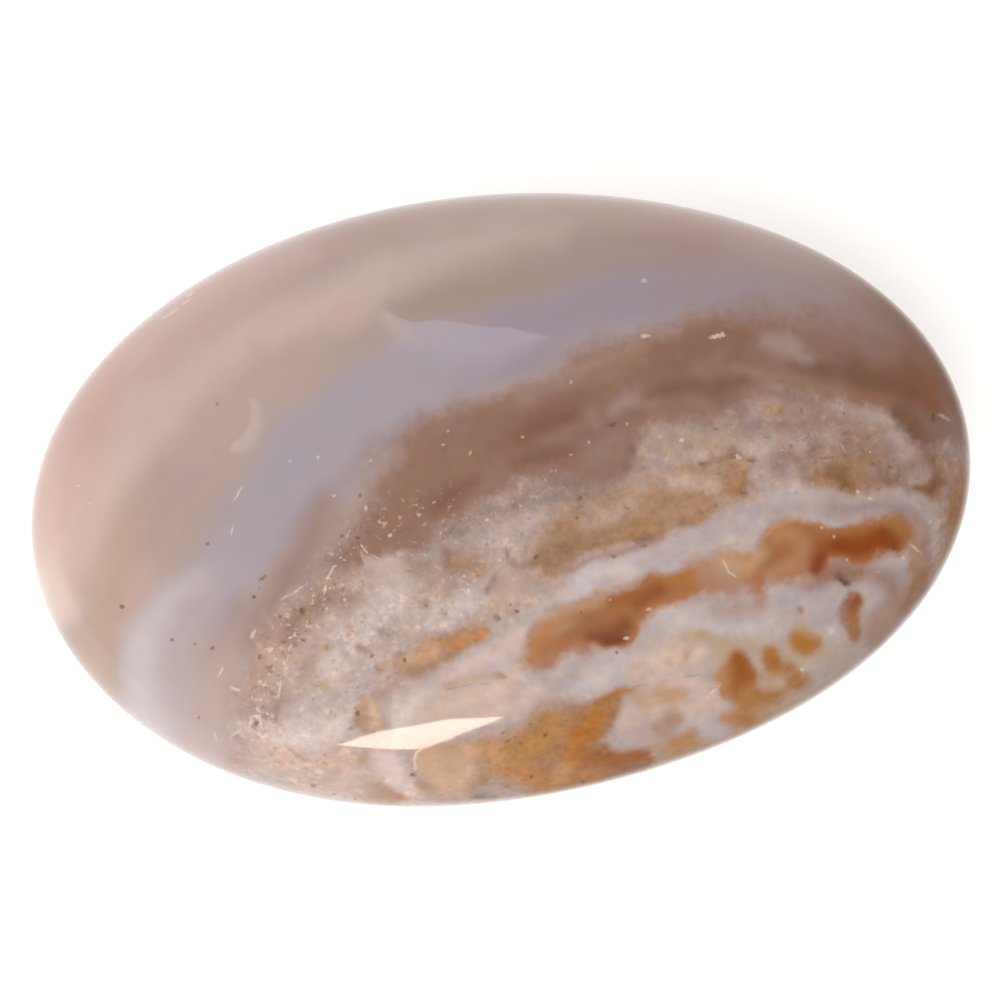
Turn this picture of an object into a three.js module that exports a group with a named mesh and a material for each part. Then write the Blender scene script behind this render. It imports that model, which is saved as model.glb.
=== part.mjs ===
// Agate palm stone: one natural piece of banded agate, ground by hand to a thick oval
// pebble and polished all over. It lies on a small level facet under its belly.
//
// Millimetres, +Z up. The origin is on the rest facet, under the middle of the stone,
// and the long axis of the oval runs along X.

import * as THREE from "three";
import { mergeVertices } from "three/addons/utils/BufferGeometryUtils.js";

// Driving dimensions: the true oval that the outline was ground to, and the thickness.
const LENGTH = 66.2;
const WIDTH = 42.5;
const THICKNESS = 24.0;

// Height of the girdle, the widest line round the stone, above the rest facet.
const GIRDLE_HEIGHT = 11.7;

// Size of the rest facet, as a share of the outline.
const FACET_SHARE = 0.3;

// A cross-section follows reach^REACH_POWER + rise^RISE_POWER = 1, where reach is the way
// out from the middle to the girdle and rise is the way up from the girdle to the crown.
// With 2 and 2 it would be an ellipse: larger powers give fuller shoulders.
const REACH_POWER = 2.15;
const RISE_POWER = 2.35;

// Slow waves that hand grinding left in the outline. Each has a number of crests round the
// stone, a height, and the angle from +X at which one of its crests stands, in degrees.
const OUTLINE_WAVES = [
  { crests: 3, height: 0.24, angle: -2 },
  { crests: 4, height: 0.11, angle: -36 },
  { crests: 5, height: 0.06, angle: 28 },
];

// Fineness of the faceted surface.
const STEPS_ROUND = 84;
const STEPS_CROWN = 17;
const STEPS_BELLY = 15;

// Polished agate.
const AGATE_COLOUR = 0xb0968a;
const AGATE_ROUGHNESS = 0.12;

/** Rise above the girdle, 0 to 1, at a given reach from the middle, 0 to 1. */
function riseAt(reach) {
  return Math.pow(1 - Math.pow(reach, REACH_POWER), 1 / RISE_POWER);
}

/** One point of the half section: turn is 0 at the girdle and a quarter turn at the pole. */
function sectionPoint(turn, depth) {
  const reach = Math.pow(Math.cos(turn), 2 / REACH_POWER);
  const rise = Math.pow(Math.sin(turn), 2 / RISE_POWER);
  return new THREE.Vector2(reach, GIRDLE_HEIGHT + depth * rise);
}

/** Half section from the middle of the rest facet, out to the girdle and up to the crown. */
function halfSection() {
  const crownRise = THICKNESS - GIRDLE_HEIGHT;
  const bellyDepth = GIRDLE_HEIGHT / riseAt(FACET_SHARE);
  const facetTurn = Math.acos(Math.pow(FACET_SHARE, REACH_POWER / 2));
  const section = [new THREE.Vector2(0, 0), new THREE.Vector2(FACET_SHARE, 0)];
  for (let i = STEPS_BELLY - 1; i > 0; i -= 1) {
    section.push(sectionPoint((facetTurn * i) / STEPS_BELLY, -bellyDepth));
  }
  for (let i = 0; i < STEPS_CROWN; i += 1) {
    section.push(sectionPoint((Math.PI / 2) * (i / STEPS_CROWN), crownRise));
  }
  section.push(new THREE.Vector2(0, THICKNESS));
  return section;
}

/** How far the outline stands proud of the true oval at an angle from +X. */
function outlineWave(angle) {
  return OUTLINE_WAVES.reduce((sum, wave) => {
    const crest = THREE.MathUtils.degToRad(wave.angle);
    return sum + wave.height * Math.cos(wave.crests * (angle - crest));
  }, 0);
}

/** Stretches the round blank, one unit in radius, to the oval outline with its waves. */
function stretchToOutline(blank) {
  const points = blank.getAttribute("position");
  for (let i = 0; i < points.count; i += 1) {
    const x = points.getX(i);
    const y = points.getY(i);
    const wave = outlineWave(Math.atan2(y, x));
    points.setX(i, x * (LENGTH / 2 + wave));
    points.setY(i, y * (WIDTH / 2 + wave));
  }
}

/** Closed surface of the stone, with one vertex where the blank's seam and poles meet. */
function stoneGeometry() {
  const blank = new THREE.LatheGeometry(halfSection(), STEPS_ROUND);
  blank.rotateX(Math.PI / 2);
  blank.deleteAttribute("normal");
  blank.deleteAttribute("uv");
  const stone = mergeVertices(blank, 1e-5);
  stretchToOutline(stone);
  stone.computeVertexNormals();
  return stone;
}

const polishedAgate = new THREE.MeshStandardMaterial({
  color: AGATE_COLOUR,
  roughness: AGATE_ROUGHNESS,
  metalness: 0,
});

const stone = new THREE.Mesh(stoneGeometry(), polishedAgate);
stone.name = "agate_palm_stone";

const palmStone = new THREE.Group();
palmStone.add(stone);

export default palmStone;
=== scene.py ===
"""Agate palm stone: a thick oval pebble of banded agate, polished all over."""

import logging
import math
from dataclasses import dataclass, field
from enum import Enum
from typing import Callable, ClassVar

import bpy
import numpy as np
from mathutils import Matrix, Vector, noise


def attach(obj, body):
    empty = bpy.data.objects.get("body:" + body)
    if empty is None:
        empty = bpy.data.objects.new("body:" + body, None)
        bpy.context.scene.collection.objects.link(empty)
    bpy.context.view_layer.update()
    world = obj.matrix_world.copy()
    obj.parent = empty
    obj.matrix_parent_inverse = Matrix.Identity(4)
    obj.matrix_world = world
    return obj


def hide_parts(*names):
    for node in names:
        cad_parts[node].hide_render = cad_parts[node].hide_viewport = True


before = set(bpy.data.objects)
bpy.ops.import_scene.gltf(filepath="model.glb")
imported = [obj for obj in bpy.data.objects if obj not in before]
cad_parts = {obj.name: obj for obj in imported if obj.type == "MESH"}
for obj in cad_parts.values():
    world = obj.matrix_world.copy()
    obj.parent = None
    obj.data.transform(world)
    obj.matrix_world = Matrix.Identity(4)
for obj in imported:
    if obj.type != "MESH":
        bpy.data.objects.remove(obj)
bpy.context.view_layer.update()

MM = 0.001
TINY = 1e-9
# How far a full turn of warmth moves red, green and blue.
WARMTH = (0.30, -0.05, -0.75)
# The pattern sheet's size, and the camera that it is drawn for, in millimetres and degrees.
SHEET_SIZE = 1000.0
LENS = 120.0
SENSOR = 36.0
EYE = 245.7
ROLL = 7.26
log = logging.getLogger("palm_stone")


def smooth(share: np.ndarray) -> np.ndarray:
    """Eases a share from 0 to 1 in and out."""
    share = np.clip(share, 0.0, 1.0)
    return share * share * (3.0 - 2.0 * share)


# ---- writing node trees


def arithmetic(operation: str, swapped: bool = False) -> Callable[["Wire", "Value"], "Wire"]:
    """Writes one of a wire's arithmetic methods.

    Args:
        operation: The operation of the Math node that it adds.
        swapped: Whether the wire is the second operand.

    Returns:
        The method.
    """

    def method(self: "Wire", other: "Value") -> "Wire":
        """Returns the operation's result as a new wire."""
        values = (other, self) if swapped else (self, other)
        return self.graph.math(operation, *values)

    return method


class Wire:
    """One output of a node, with ordinary arithmetic that adds Math nodes to its tree."""

    def __init__(self, graph: "Graph", socket: bpy.types.NodeSocket) -> None:
        """Keeps the socket and the graph that it belongs to."""
        self.graph = graph
        self.socket = socket

    __add__ = __radd__ = arithmetic("ADD")
    __mul__ = __rmul__ = arithmetic("MULTIPLY")
    __sub__ = arithmetic("SUBTRACT")
    __rsub__ = arithmetic("SUBTRACT", swapped=True)
    __truediv__ = arithmetic("DIVIDE")
    __rtruediv__ = arithmetic("DIVIDE", swapped=True)
    __pow__ = arithmetic("POWER")


Value = Wire | float


class Graph:
    """A node tree while it is being written, for a shader or for geometry."""

    # A Mix node's sockets for the share and the two colours, and the one for its result.
    MIX_SOCKETS = (0, 6, 7)
    MIX_RESULT = 2

    def __init__(self, tree: bpy.types.NodeTree) -> None:
        """Keeps the tree, which starts out empty."""
        self.tree = tree
        tree.nodes.clear()

    def node(self, kind: str, **settings: object) -> bpy.types.Node:
        """Adds a node.

        Args:
            kind: The node's Blender type name.
            **settings: Properties to set on it, such as its operation.

        Returns:
            The new node.
        """
        made = self.tree.nodes.new(kind)
        for name, value in settings.items():
            setattr(made, name, value)
        return made

    def feed(self, socket: bpy.types.NodeSocket, value: object) -> None:
        """Links a wire to an input, or sets the input's own value where value is a constant."""
        if isinstance(value, Wire):
            self.tree.links.new(value.socket, socket)
        else:
            socket.default_value = value

    def out(self, node: bpy.types.Node, name: str | int = 0) -> Wire:
        """Returns an output of a node, its first one where no name is given."""
        return Wire(self, node.outputs[name])

    def end(self, shader: bpy.types.Node, kind: str = "ShaderNodeOutputMaterial") -> None:
        """Ends the tree with the result of its last shader."""
        self.feed(self.node(kind).inputs["Surface"], self.out(shader))

    def math(self, operation: str, *values: Value) -> Wire:
        """Adds a Math node.

        Args:
            operation: The node's operation, such as ADD.
            *values: Its operands.

        Returns:
            Its result.
        """
        made = self.node("ShaderNodeMath", operation=operation)
        for socket, value in zip(made.inputs, values):
            self.feed(socket, value)
        return self.out(made)

    def vector(self, operation: str, *values: object) -> bpy.types.Node:
        """Adds a Vector Math node on up to three operands, and returns the node."""
        made = self.node("ShaderNodeVectorMath", operation=operation)
        for socket, value in zip(made.inputs, values):
            self.feed(socket, value)
        return made

    def split(self, vector: Wire) -> tuple[Wire, Wire, Wire]:
        """Returns the three components of a vector."""
        made = self.node("ShaderNodeSeparateXYZ")
        self.feed(made.inputs[0], vector)
        return tuple(Wire(self, output) for output in made.outputs)

    def join(self, x: Value, y: Value, z: Value) -> Wire:
        """Returns the vector with these components."""
        made = self.node("ShaderNodeCombineXYZ")
        for socket, value in zip(made.inputs, (x, y, z)):
            self.feed(socket, value)
        return self.out(made)

    def eased(self, value: Value, low: float, high: float) -> Wire:
        """Returns 0 below low, 1 above high and a smooth rise between them."""
        made = self.node("ShaderNodeMapRange", interpolation_type="SMOOTHSTEP")
        self.feed(made.inputs["Value"], value)
        self.feed(made.inputs["From Min"], low)
        self.feed(made.inputs["From Max"], high)
        return self.out(made, "Result")

    def noise(self, place: Wire, scale: float, detail: float, rough: float = 0.5) -> tuple[Wire, ...]:
        """Returns three separate smooth noises about 0, mostly within 0.5 either way.

        Args:
            place: The vector that they are read at.
            scale: Their features to a unit of the vector.
            detail: How many finer octaves they have.
            rough: How strong each finer octave is.

        Returns:
            The noises.
        """
        made = self.node("ShaderNodeTexNoise", noise_dimensions="3D")
        self.feed(made.inputs["Vector"], place)
        for name, value in (("Scale", scale), ("Detail", detail), ("Roughness", rough)):
            self.feed(made.inputs[name], value)
        parts = self.split(self.out(made, "Color"))
        return tuple((part - 0.5) * 2.0 for part in parts)

    def mix(self, first: object, second: object, share: Value) -> Wire:
        """Returns the colour that lies the given share of the way between two."""
        made = self.node("ShaderNodeMix", data_type="RGBA", clamp_factor=True)
        for socket, value in zip(self.MIX_SOCKETS, (share, first, second)):
            self.feed(made.inputs[socket], value)
        return self.out(made, self.MIX_RESULT)

    def lit(self, colour: Wire, gain: Value) -> Wire:
        """Returns a colour made lighter or darker by a gain."""
        made = self.vector("SCALE", colour)
        self.feed(made.inputs["Scale"], gain)
        return self.out(made)

    def toned(self, colour: Wire, light: Value, warm: Value) -> Wire:
        """Returns a colour made lighter and warmer, or darker and cooler, by small shares."""
        gains = [1.0 + light + warm * turn for turn in WARMTH]
        return self.out(self.vector("MULTIPLY", colour, self.join(*gains)))

    def attribute(self, name: str) -> tuple[Wire, Wire]:
        """Returns the colour and the fourth value that the mesh carries under a name."""
        made = self.node("ShaderNodeAttribute", attribute_name=name)
        return self.out(made, "Color"), self.out(made, "Alpha")


def new_material(name: str) -> tuple[bpy.types.Material, Graph]:
    """Makes an empty material, and returns it with the graph that its nodes are written in."""
    material = bpy.data.materials.new(name)
    material.use_nodes = True
    return material, Graph(material.node_tree)


# ---- the stone's shape


@dataclass(frozen=True)
class OutlineWave:
    """A slow wave that hand grinding left in the outline."""

    crests: int
    height: float
    angle: float


@dataclass(frozen=True)
class StoneShape:
    """Sizes of the stone in millimetres, and the rule that its surface follows.

    A cross-section obeys reach^reach_power + rise^rise_power = 1, where reach runs from
    the middle out to the girdle, and rise from the girdle up to the crown or down to the
    belly. The belly is cut off level at the rest facet, at a share of its reach.
    """

    length: float = 66.2
    width: float = 42.5
    thickness: float = 24.0
    girdle: float = 11.7
    facet_share: float = 0.3
    reach_power: float = 2.15
    rise_power: float = 2.35
    waves: tuple[OutlineWave, ...] = (
        OutlineWave(3, 0.24, -2.0),
        OutlineWave(4, 0.11, -36.0),
        OutlineWave(5, 0.06, 28.0),
    )

    def belly_depth(self) -> float:
        """Depth below the girdle that the belly would have without its rest facet."""
        rise = (1 - self.facet_share**self.reach_power) ** (1 / self.rise_power)
        return self.girdle / rise


class StoneTree:
    """Geometry Nodes tree that turns a block of small squares into the ground stone."""

    BLOCK_SIDE = 2.0
    SIZES = ("Length", "Width", "Thickness", "Girdle", "Belly", "Reach Power", "Rise Power")
    COUNTS = ("Squares Long", "Squares Wide", "Squares High")

    def __init__(self, shape: StoneShape, finish: bpy.types.Material) -> None:
        """Builds the tree for a shape, with its finish."""
        self.shape = shape
        self.tree = bpy.data.node_groups.new("ground_stone", "GeometryNodeTree")
        self.graph = Graph(self.tree)
        self.entry = self.add_inputs()
        self.build(finish)

    def add_inputs(self) -> bpy.types.Node:
        panel = self.tree.interface
        panel.new_socket("Geometry", in_out="OUTPUT", socket_type="NodeSocketGeometry")
        for name in self.SIZES:
            panel.new_socket(name, in_out="INPUT", socket_type="NodeSocketFloat")
        for name in self.COUNTS:
            panel.new_socket(name, in_out="INPUT", socket_type="NodeSocketInt")
        return self.graph.node("NodeGroupInput")

    def size(self, name: str) -> Wire:
        """Returns one of the tree's named inputs."""
        return self.graph.out(self.entry, name)

    def rounded(self, block: Wire) -> tuple[Wire, Wire, Wire]:
        """Moves a point of the block, 2 units a side, on to the unit ball.

        Each coordinate is multiplied by sqrt(1 - b/2 - c/2 + bc/3), where b and c are the
        squares of the other two.

        Args:
            block: The point's place on the block.

        Returns:
            Its place on the ball.
        """
        places = self.graph.split(block)
        squares = [place * place for place in places]
        moved = []
        for i, place in enumerate(places):
            b, c = squares[(i + 1) % 3], squares[(i + 2) % 3]
            inside = 1.0 - b / 2.0 - c / 2.0 + b * c / 3.0
            moved.append(place * self.graph.math("SQRT", inside))
        return tuple(moved)

    def outline_wave(self, angle: Wire) -> Wire:
        """Returns how far the outline stands proud of the true oval at an angle."""
        total = None
        for wave in self.shape.waves:
            turned = (angle - math.radians(wave.angle)) * float(wave.crests)
            swing = self.graph.math("COSINE", turned) * wave.height
            total = swing if total is None else total + swing
        return total

    def ground(self, ball: tuple[Wire, Wire, Wire]) -> Wire:
        """Moves a point of the unit ball to the stone's surface, in metres."""
        graph = self.graph
        x, y, z = ball
        out = graph.math("SQRT", x * x + y * y)
        angle = graph.math("ARCTAN2", y, x)
        reach = out ** (2.0 / self.size("Reach Power"))
        height = graph.math("ABSOLUTE", z) ** (2.0 / self.size("Rise Power"))
        wave = self.outline_wave(angle)
        long = reach * graph.math("COSINE", angle) * (self.size("Length") * 0.5 + wave)
        across = reach * graph.math("SINE", angle) * (self.size("Width") * 0.5 + wave)
        above = graph.math("GREATER_THAN", z, 0.0)
        crown = (self.size("Thickness") - self.size("Girdle")) * above
        belly = self.size("Belly") * (1.0 - above)
        up = self.size("Girdle") + height * (crown - belly)
        facet = graph.math("MAXIMUM", up, 0.0)
        return graph.join(long * MM, across * MM, facet * MM)

    def build(self, finish: bpy.types.Material) -> None:
        """Writes the nodes from the block to the finished stone."""
        graph = self.graph
        block = graph.node("GeometryNodeMeshCube")
        graph.feed(block.inputs["Size"], (self.BLOCK_SIDE,) * 3)
        for axis, name in zip("XYZ", self.COUNTS):
            graph.feed(block.inputs[f"Vertices {axis}"], self.size(name))
        place = graph.out(graph.node("GeometryNodeInputPosition"))
        moved = graph.node("GeometryNodeSetPosition")
        graph.feed(moved.inputs["Position"], self.ground(self.rounded(place)))
        smoothed = graph.node("GeometryNodeSetShadeSmooth")
        realized = graph.node("GeometryNodeRealizeInstances")
        dressed = graph.node("GeometryNodeSetMaterial")
        graph.feed(dressed.inputs["Material"], finish)
        last = block
        for step in (moved, smoothed, realized, dressed, graph.node("NodeGroupOutput")):
            graph.feed(step.inputs["Geometry"], graph.out(last))
            last = step

    def values(self, counts: tuple[int, int, int]) -> dict[str, float]:
        """Returns the value of each named input, for a block with these counts of points."""
        shape = self.shape
        sizes = (
            shape.length,
            shape.width,
            shape.thickness,
            shape.girdle,
            shape.belly_depth(),
            shape.reach_power,
            shape.rise_power,
        )
        return dict(zip(self.SIZES + self.COUNTS, sizes + counts))


# ---- the agate's pattern


class Tint(Enum):
    """Colours of the agate and of the iron that stains it, as display red, green and blue."""

    SHELL_PINK = (189, 160, 149)
    PETAL = (184, 154, 145)
    PETAL_DUSK = (177, 150, 142)
    ROSE = (171, 145, 138)
    SHELL = (184, 160, 150)
    SHELL_SOFT = (178, 157, 149)
    SHELL_GREY = (175, 157, 149)
    CREAM = (204, 184, 170)
    TAUPE = (157, 138, 131)
    TAUPE_WARM = (163, 142, 134)
    TAUPE_COOL = (158, 138, 132)
    TAUPE_PALE = (170, 151, 142)
    TAUPE_DIM = (150, 130, 123)
    CLAY = (153, 126, 117)
    CLAY_DIM = (146, 119, 112)
    OLIVE_GREY = (148, 130, 120)
    STRAW = (170, 144, 126)
    STRAW_GREY = (160, 138, 127)
    BLUSH = (172, 151, 146)
    LILAC_PALE = (170, 157, 158)
    LILAC_GREY = (164, 151, 151)
    BLOOM = (182, 171, 172)
    LILAC = (150, 140, 146)
    LILAC_COOL = (148, 139, 146)
    LILAC_LIGHT = (160, 151, 161)
    LILAC_DIM = (141, 129, 137)
    LILAC_WARM = (143, 126, 128)
    LILAC_ROSE = (138, 112, 107)
    LILAC_BROWN = (146, 123, 118)
    PLUM = (138, 113, 107)
    UMBER = (124, 88, 72)
    COCOA = (131, 100, 86)
    COCOA_WARM = (130, 97, 80)
    COCOA_RED = (124, 90, 74)
    COCOA_DEEP = (114, 77, 62)
    COCOA_PLUM = (121, 93, 82)
    COCOA_PALE = (143, 118, 109)
    COCOA_TAN = (138, 107, 88)
    COCOA_DARK = (110, 75, 57)
    COCOA_ROSE = (132, 101, 89)
    LENS_PALE = (150, 130, 121)
    SUGAR = (168, 148, 140)
    SUGAR_GREY = (148, 130, 123)
    SUGAR_PALE = (190, 174, 168)
    SUGAR_CREAM = (180, 163, 153)
    SUGAR_CREAM_DIM = (158, 135, 117)
    SUGAR_TAN = (168, 140, 124)
    SUGAR_TAN_DEEP = (148, 117, 99)
    SUGAR_PEACH = (182, 153, 138)
    SUGAR_SMOKE = (116, 94, 86)
    SUGAR_GREEN = (151, 131, 115)
    SUGAR_ROSE = (162, 132, 121)
    SUGAR_ROSE_DIM = (145, 118, 106)
    SUGAR_LILAC = (172, 155, 152)
    SUGAR_DOME = (160, 141, 133)
    SUGAR_MAUVE = (140, 117, 113)
    SUGAR_BROWN = (134, 103, 89)
    OCHRE = (148, 114, 88)
    OCHRE_DEEP = (146, 98, 55)
    OCHRE_TAN = (158, 126, 101)
    OCHRE_DARK = (118, 80, 52)
    OCHRE_BROWN = (136, 102, 76)
    OCHRE_OLIVE = (152, 113, 78)
    OCHRE_ORANGE = (152, 112, 82)
    OCHRE_RED = (138, 97, 72)
    OCHRE_ROSE = (160, 126, 106)
    HONEY = (174, 118, 62)
    HONEY_DEEP = (156, 98, 34)
    HONEY_EYE = (160, 102, 28)
    HONEY_BROWN = (148, 94, 36)
    HONEY_PALE = (187, 138, 92)
    HONEY_VEIL = (168, 130, 92)
    STRAW_VEIL = (172, 148, 122)
    STRAW_DEEP = (166, 136, 100)
    PEACH = (182, 145, 118)
    OLIVE = (140, 114, 86)
    CRUMB = (96, 70, 60)
    CHALK = (173, 157, 152)
    CHALK_WHITE = (184, 171, 170)
    CHALK_COOL = (168, 154, 154)
    CHALK_PINK = (195, 170, 162)
    CHALK_PEACH = (194, 168, 152)
    CHALK_BLUSH = (175, 151, 146)
    CHALK_BEIGE = (162, 138, 128)
    CHALK_BROWN = (160, 130, 114)
    CHALK_MAUVE = (160, 142, 143)
    CHALK_ORANGE = (178, 138, 106)
    MAUVE_ROSE = (146, 113, 106)
    AMBER = (148, 98, 64)
    AMBER_BRIGHT = (160, 112, 74)
    AMBER_BROWN = (118, 66, 42)
    AMBER_BLACK = (104, 52, 32)
    AMBER_EARTH = (138, 91, 62)
    AMBER_ORANGE = (152, 96, 46)
    AMBER_RED = (152, 92, 46)
    AMBER_RUSSET = (136, 82, 40)
    AMBER_PALE = (167, 120, 82)
    AMBER_CLAY = (164, 118, 90)
    AMBER_ROSE = (154, 114, 94)
    AMBER_TAN = (158, 125, 100)
    RUST = (140, 79, 40)
    RUST_DEEP = (128, 62, 20)
    RUST_RED = (118, 56, 32)
    RUST_SOFT = (132, 72, 34)
    SUGAR_FLECK = (98, 74, 62)
    GLITTER = (214, 186, 165)
    RIM_OCHRE = (175, 114, 54)
    RIM_RUST = (150, 80, 26)
    RIM_CLAY = (146, 100, 62)
    RIM_MAUVE = (150, 120, 110)
    RIM_GREY = (170, 149, 138)
    RIM_STRAW = (172, 132, 96)
    HONEY_CREAM = (178, 146, 112)
    PETAL_ROSE = (177, 145, 135)
    ROSE_BROWN = (152, 126, 117)
    TAUPE_RIM = (152, 130, 120)
    RIM_UMBER = (122, 78, 54)
    RIM_BROWN = (134, 102, 84)
    SUGAR_DUSK = (134, 114, 104)
    SUGAR_PLUM = (122, 90, 80)
    CHALK_CREAM = (176, 160, 150)
    PEACH_PALE = (190, 158, 134)
    RUST_EYE = (142, 80, 26)
    OLIVE_DARK = (104, 78, 52)
    CHIP = (172, 152, 140)
    PEACH_LENS = (186, 154, 130)
    COARSE_BROWN = (134, 104, 88)
    AMBER_GLOW = (171, 121, 66)
    AMBER_HOT = (168, 107, 48)
    RIM_ROSE = (152, 116, 94)
    LENS_ORANGE = (176, 122, 78)
    EYE_TAN = (172, 122, 78)
    EYE_OCHRE = (156, 104, 46)
    CHALK_LILAC = (151, 131, 127)
    LOW_WHITE = (202, 184, 177)
    LOW_PEACH = (194, 163, 146)
    LOW_PINK = (206, 182, 176)
    PEACH_WARM = (192, 150, 118)
    RIM_LIGHT = (166, 138, 122)

    def linear(self) -> np.ndarray:
        """Returns the colour as linear light, by the sRGB rule."""
        full, knee, slope, offset, power = 255.0, 0.04045, 12.92, 0.055, 2.4
        display = np.array(self.value) / full
        return np.where(display <= knee, display / slope, ((display + offset) / (1 + offset)) ** power)

    def paint(self) -> tuple[float, ...]:
        """Returns the colour as a node's socket takes it."""
        return (*self.linear(), 1.0)


# The deepest that a mineral is measured, in widths of its edge, and the oval nodule that the
# bands grew round: its middle and radii on the sheet, and how far it grew in mm.
DEEPEST = 6.0
NODULE_MIDDLE = (720.0, 775.0)
NODULE_RADII = (610.0, 515.0)
NODULE_GROWTH = 42.0


@dataclass(frozen=True)
class Sheet:
    """The drawing sheet that the pattern is laid out on, a square with y down.

    It shows the crown from straight above, from the camera's height and turned as the camera
    is, so each place on the stone has a place on the sheet.
    """

    middle: tuple[float, float] = (498.2, 497.7)
    reach: float = SHEET_SIZE * LENS / SENSOR
    eye: float = EYE
    turn: float = ROLL

    def lay(self, plan: np.ndarray, heights: np.ndarray) -> np.ndarray:
        """Returns the place on the sheet of points of the stone.

        Args:
            plan: The points along and across the stone in millimetres, one a row.
            heights: Their heights above the floor in millimetres.
        """
        turn = math.radians(self.turn)
        spread = self.reach / (self.eye - heights)
        right = plan @ (math.cos(turn), -math.sin(turn))
        down = plan @ (-math.sin(turn), -math.cos(turn))
        return np.column_stack([right * spread, down * spread]) + self.middle


@dataclass(frozen=True)
class Drift:
    """A soft cloud or streak of colour along a middle line, in sheet units.

    Each stop of the path is a place on the sheet and a half width. The tints are spread
    evenly from the first stop to the last.
    """

    name: str
    tints: tuple[Tint, ...]
    blur: float
    strength: float
    path: tuple[tuple[float, float, float], ...]

    def __post_init__(self) -> None:
        """Refuses a drift that can't be drawn."""
        if not self.tints or not self.path or self.blur <= 0.0:
            raise ValueError(f"drift {self.name!r} has no tint, no path or no blur")

    def over(self, plan: np.ndarray) -> tuple[np.ndarray, np.ndarray]:
        """Measures the drift at points of the sheet.

        Args:
            plan: The points, one a row.

        Returns:
            How strongly it covers each point, and its colour there.
        """
        nearest = np.full(len(plan), np.inf)
        along = np.zeros(len(plan))
        for number, (first, last) in enumerate(zip(self.path, self.path[1:] or self.path)):
            start, step = np.array(first[:2]), np.subtract(last[:2], first[:2])
            share = np.clip((plan - start) @ step / max(step @ step, TINY), 0.0, 1.0)
            width = first[2] + share * (last[2] - first[2])
            away = np.linalg.norm(plan - start - share[:, None] * step, axis=1) - width
            along = np.where(away < nearest, number + share, along)
            nearest = np.minimum(away, nearest)
        stops = np.linspace(0.0, max(len(self.path) - 1, 1), len(self.tints))
        tints = np.array([tint.linear() for tint in self.tints])
        colour = np.column_stack([np.interp(along, stops, channel) for channel in tints.T])
        return self.strength * smooth(0.5 - nearest / (2.0 * self.blur)), colour


@dataclass(frozen=True)
class Patch:
    """A closed outline round one body of a mineral, in sheet units.

    Each point is a place on the sheet, and how soft the edge is there.
    """

    FEWEST: ClassVar[int] = 3

    name: str
    outline: tuple[tuple[float, float, float], ...]

    def __post_init__(self) -> None:
        """Refuses an outline that encloses nothing."""
        if len(self.outline) < self.FEWEST:
            raise ValueError(f"patch {self.name!r} has too few points")

    def depth(self, plan: np.ndarray) -> np.ndarray:
        """Returns how deep inside the outline points lie, in widths of its soft edge."""
        x, y = plan.T
        nearest = np.full(len(plan), np.inf)
        softness = np.ones(len(plan))
        inside = np.zeros(len(plan), dtype=bool)
        for first, last in zip(self.outline, self.outline[1:] + self.outline[:1]):
            start, step = np.array(first[:2]), np.subtract(last[:2], first[:2])
            share = np.clip((plan - start) @ step / max(step @ step, TINY), 0.0, 1.0)
            away = np.linalg.norm(plan - start - share[:, None] * step, axis=1)
            closer = away < nearest
            nearest = np.where(closer, away, nearest)
            softness = np.where(closer, first[2] + share * (last[2] - first[2]), softness)
            if step[1]:
                crossing = (first[1] > y) != (last[1] > y)
                inside ^= crossing & (x < start[0] + (y - start[1]) * step[0] / step[1])
        return np.where(inside, nearest, -nearest) / softness


def growth(plan: np.ndarray) -> np.ndarray:
    """Returns how far out from the middle of the nodule points of the sheet grew, in mm."""
    out = np.linalg.norm((plan - NODULE_MIDDLE) / NODULE_RADII, axis=1)
    return out * NODULE_GROWTH


@dataclass(frozen=True)
class Layer:
    """One mineral of the agate: where it lies, and how its colour drifts."""

    name: str
    base: Tint
    patches: tuple[Patch, ...]
    drifts: tuple[Drift, ...]

    def paint(self, plan: np.ndarray) -> np.ndarray:
        """Returns the layer's colour at points of the sheet, with a fourth value.

        That value is how deep inside the mineral a point lies, or how far out it grew where
        the mineral is everywhere.
        """
        colour = np.tile(self.base.linear(), (len(plan), 1))
        for drift in self.drifts:
            cover, tint = drift.over(plan)
            colour += cover[:, None] * (tint - colour)
        if not self.patches:
            return np.column_stack([colour, growth(plan)])
        depth = np.max([patch.depth(plan) for patch in self.patches], axis=0)
        return np.column_stack([colour, np.clip(depth, -DEEPEST, DEEPEST)])


# ---- marks in the polish: flecks and scratches, and painted highlights and shadows


@dataclass(frozen=True)
class Mark:
    """A mark: a dark or pale speck, a scratch, or a spot of painted highlight or shadow, drawn as a small
    ellipse in sheet units, turned by so many degrees.
    """

    x: float
    y: float
    half_length: float
    half_width: float
    turn: float
    strength: float


def marks(*rows: tuple[float, ...]) -> tuple[Mark, ...]:
    """Makes marks from rows of x, y, half length, half width, turn and strength."""
    return tuple(Mark(*row) for row in rows)


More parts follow.
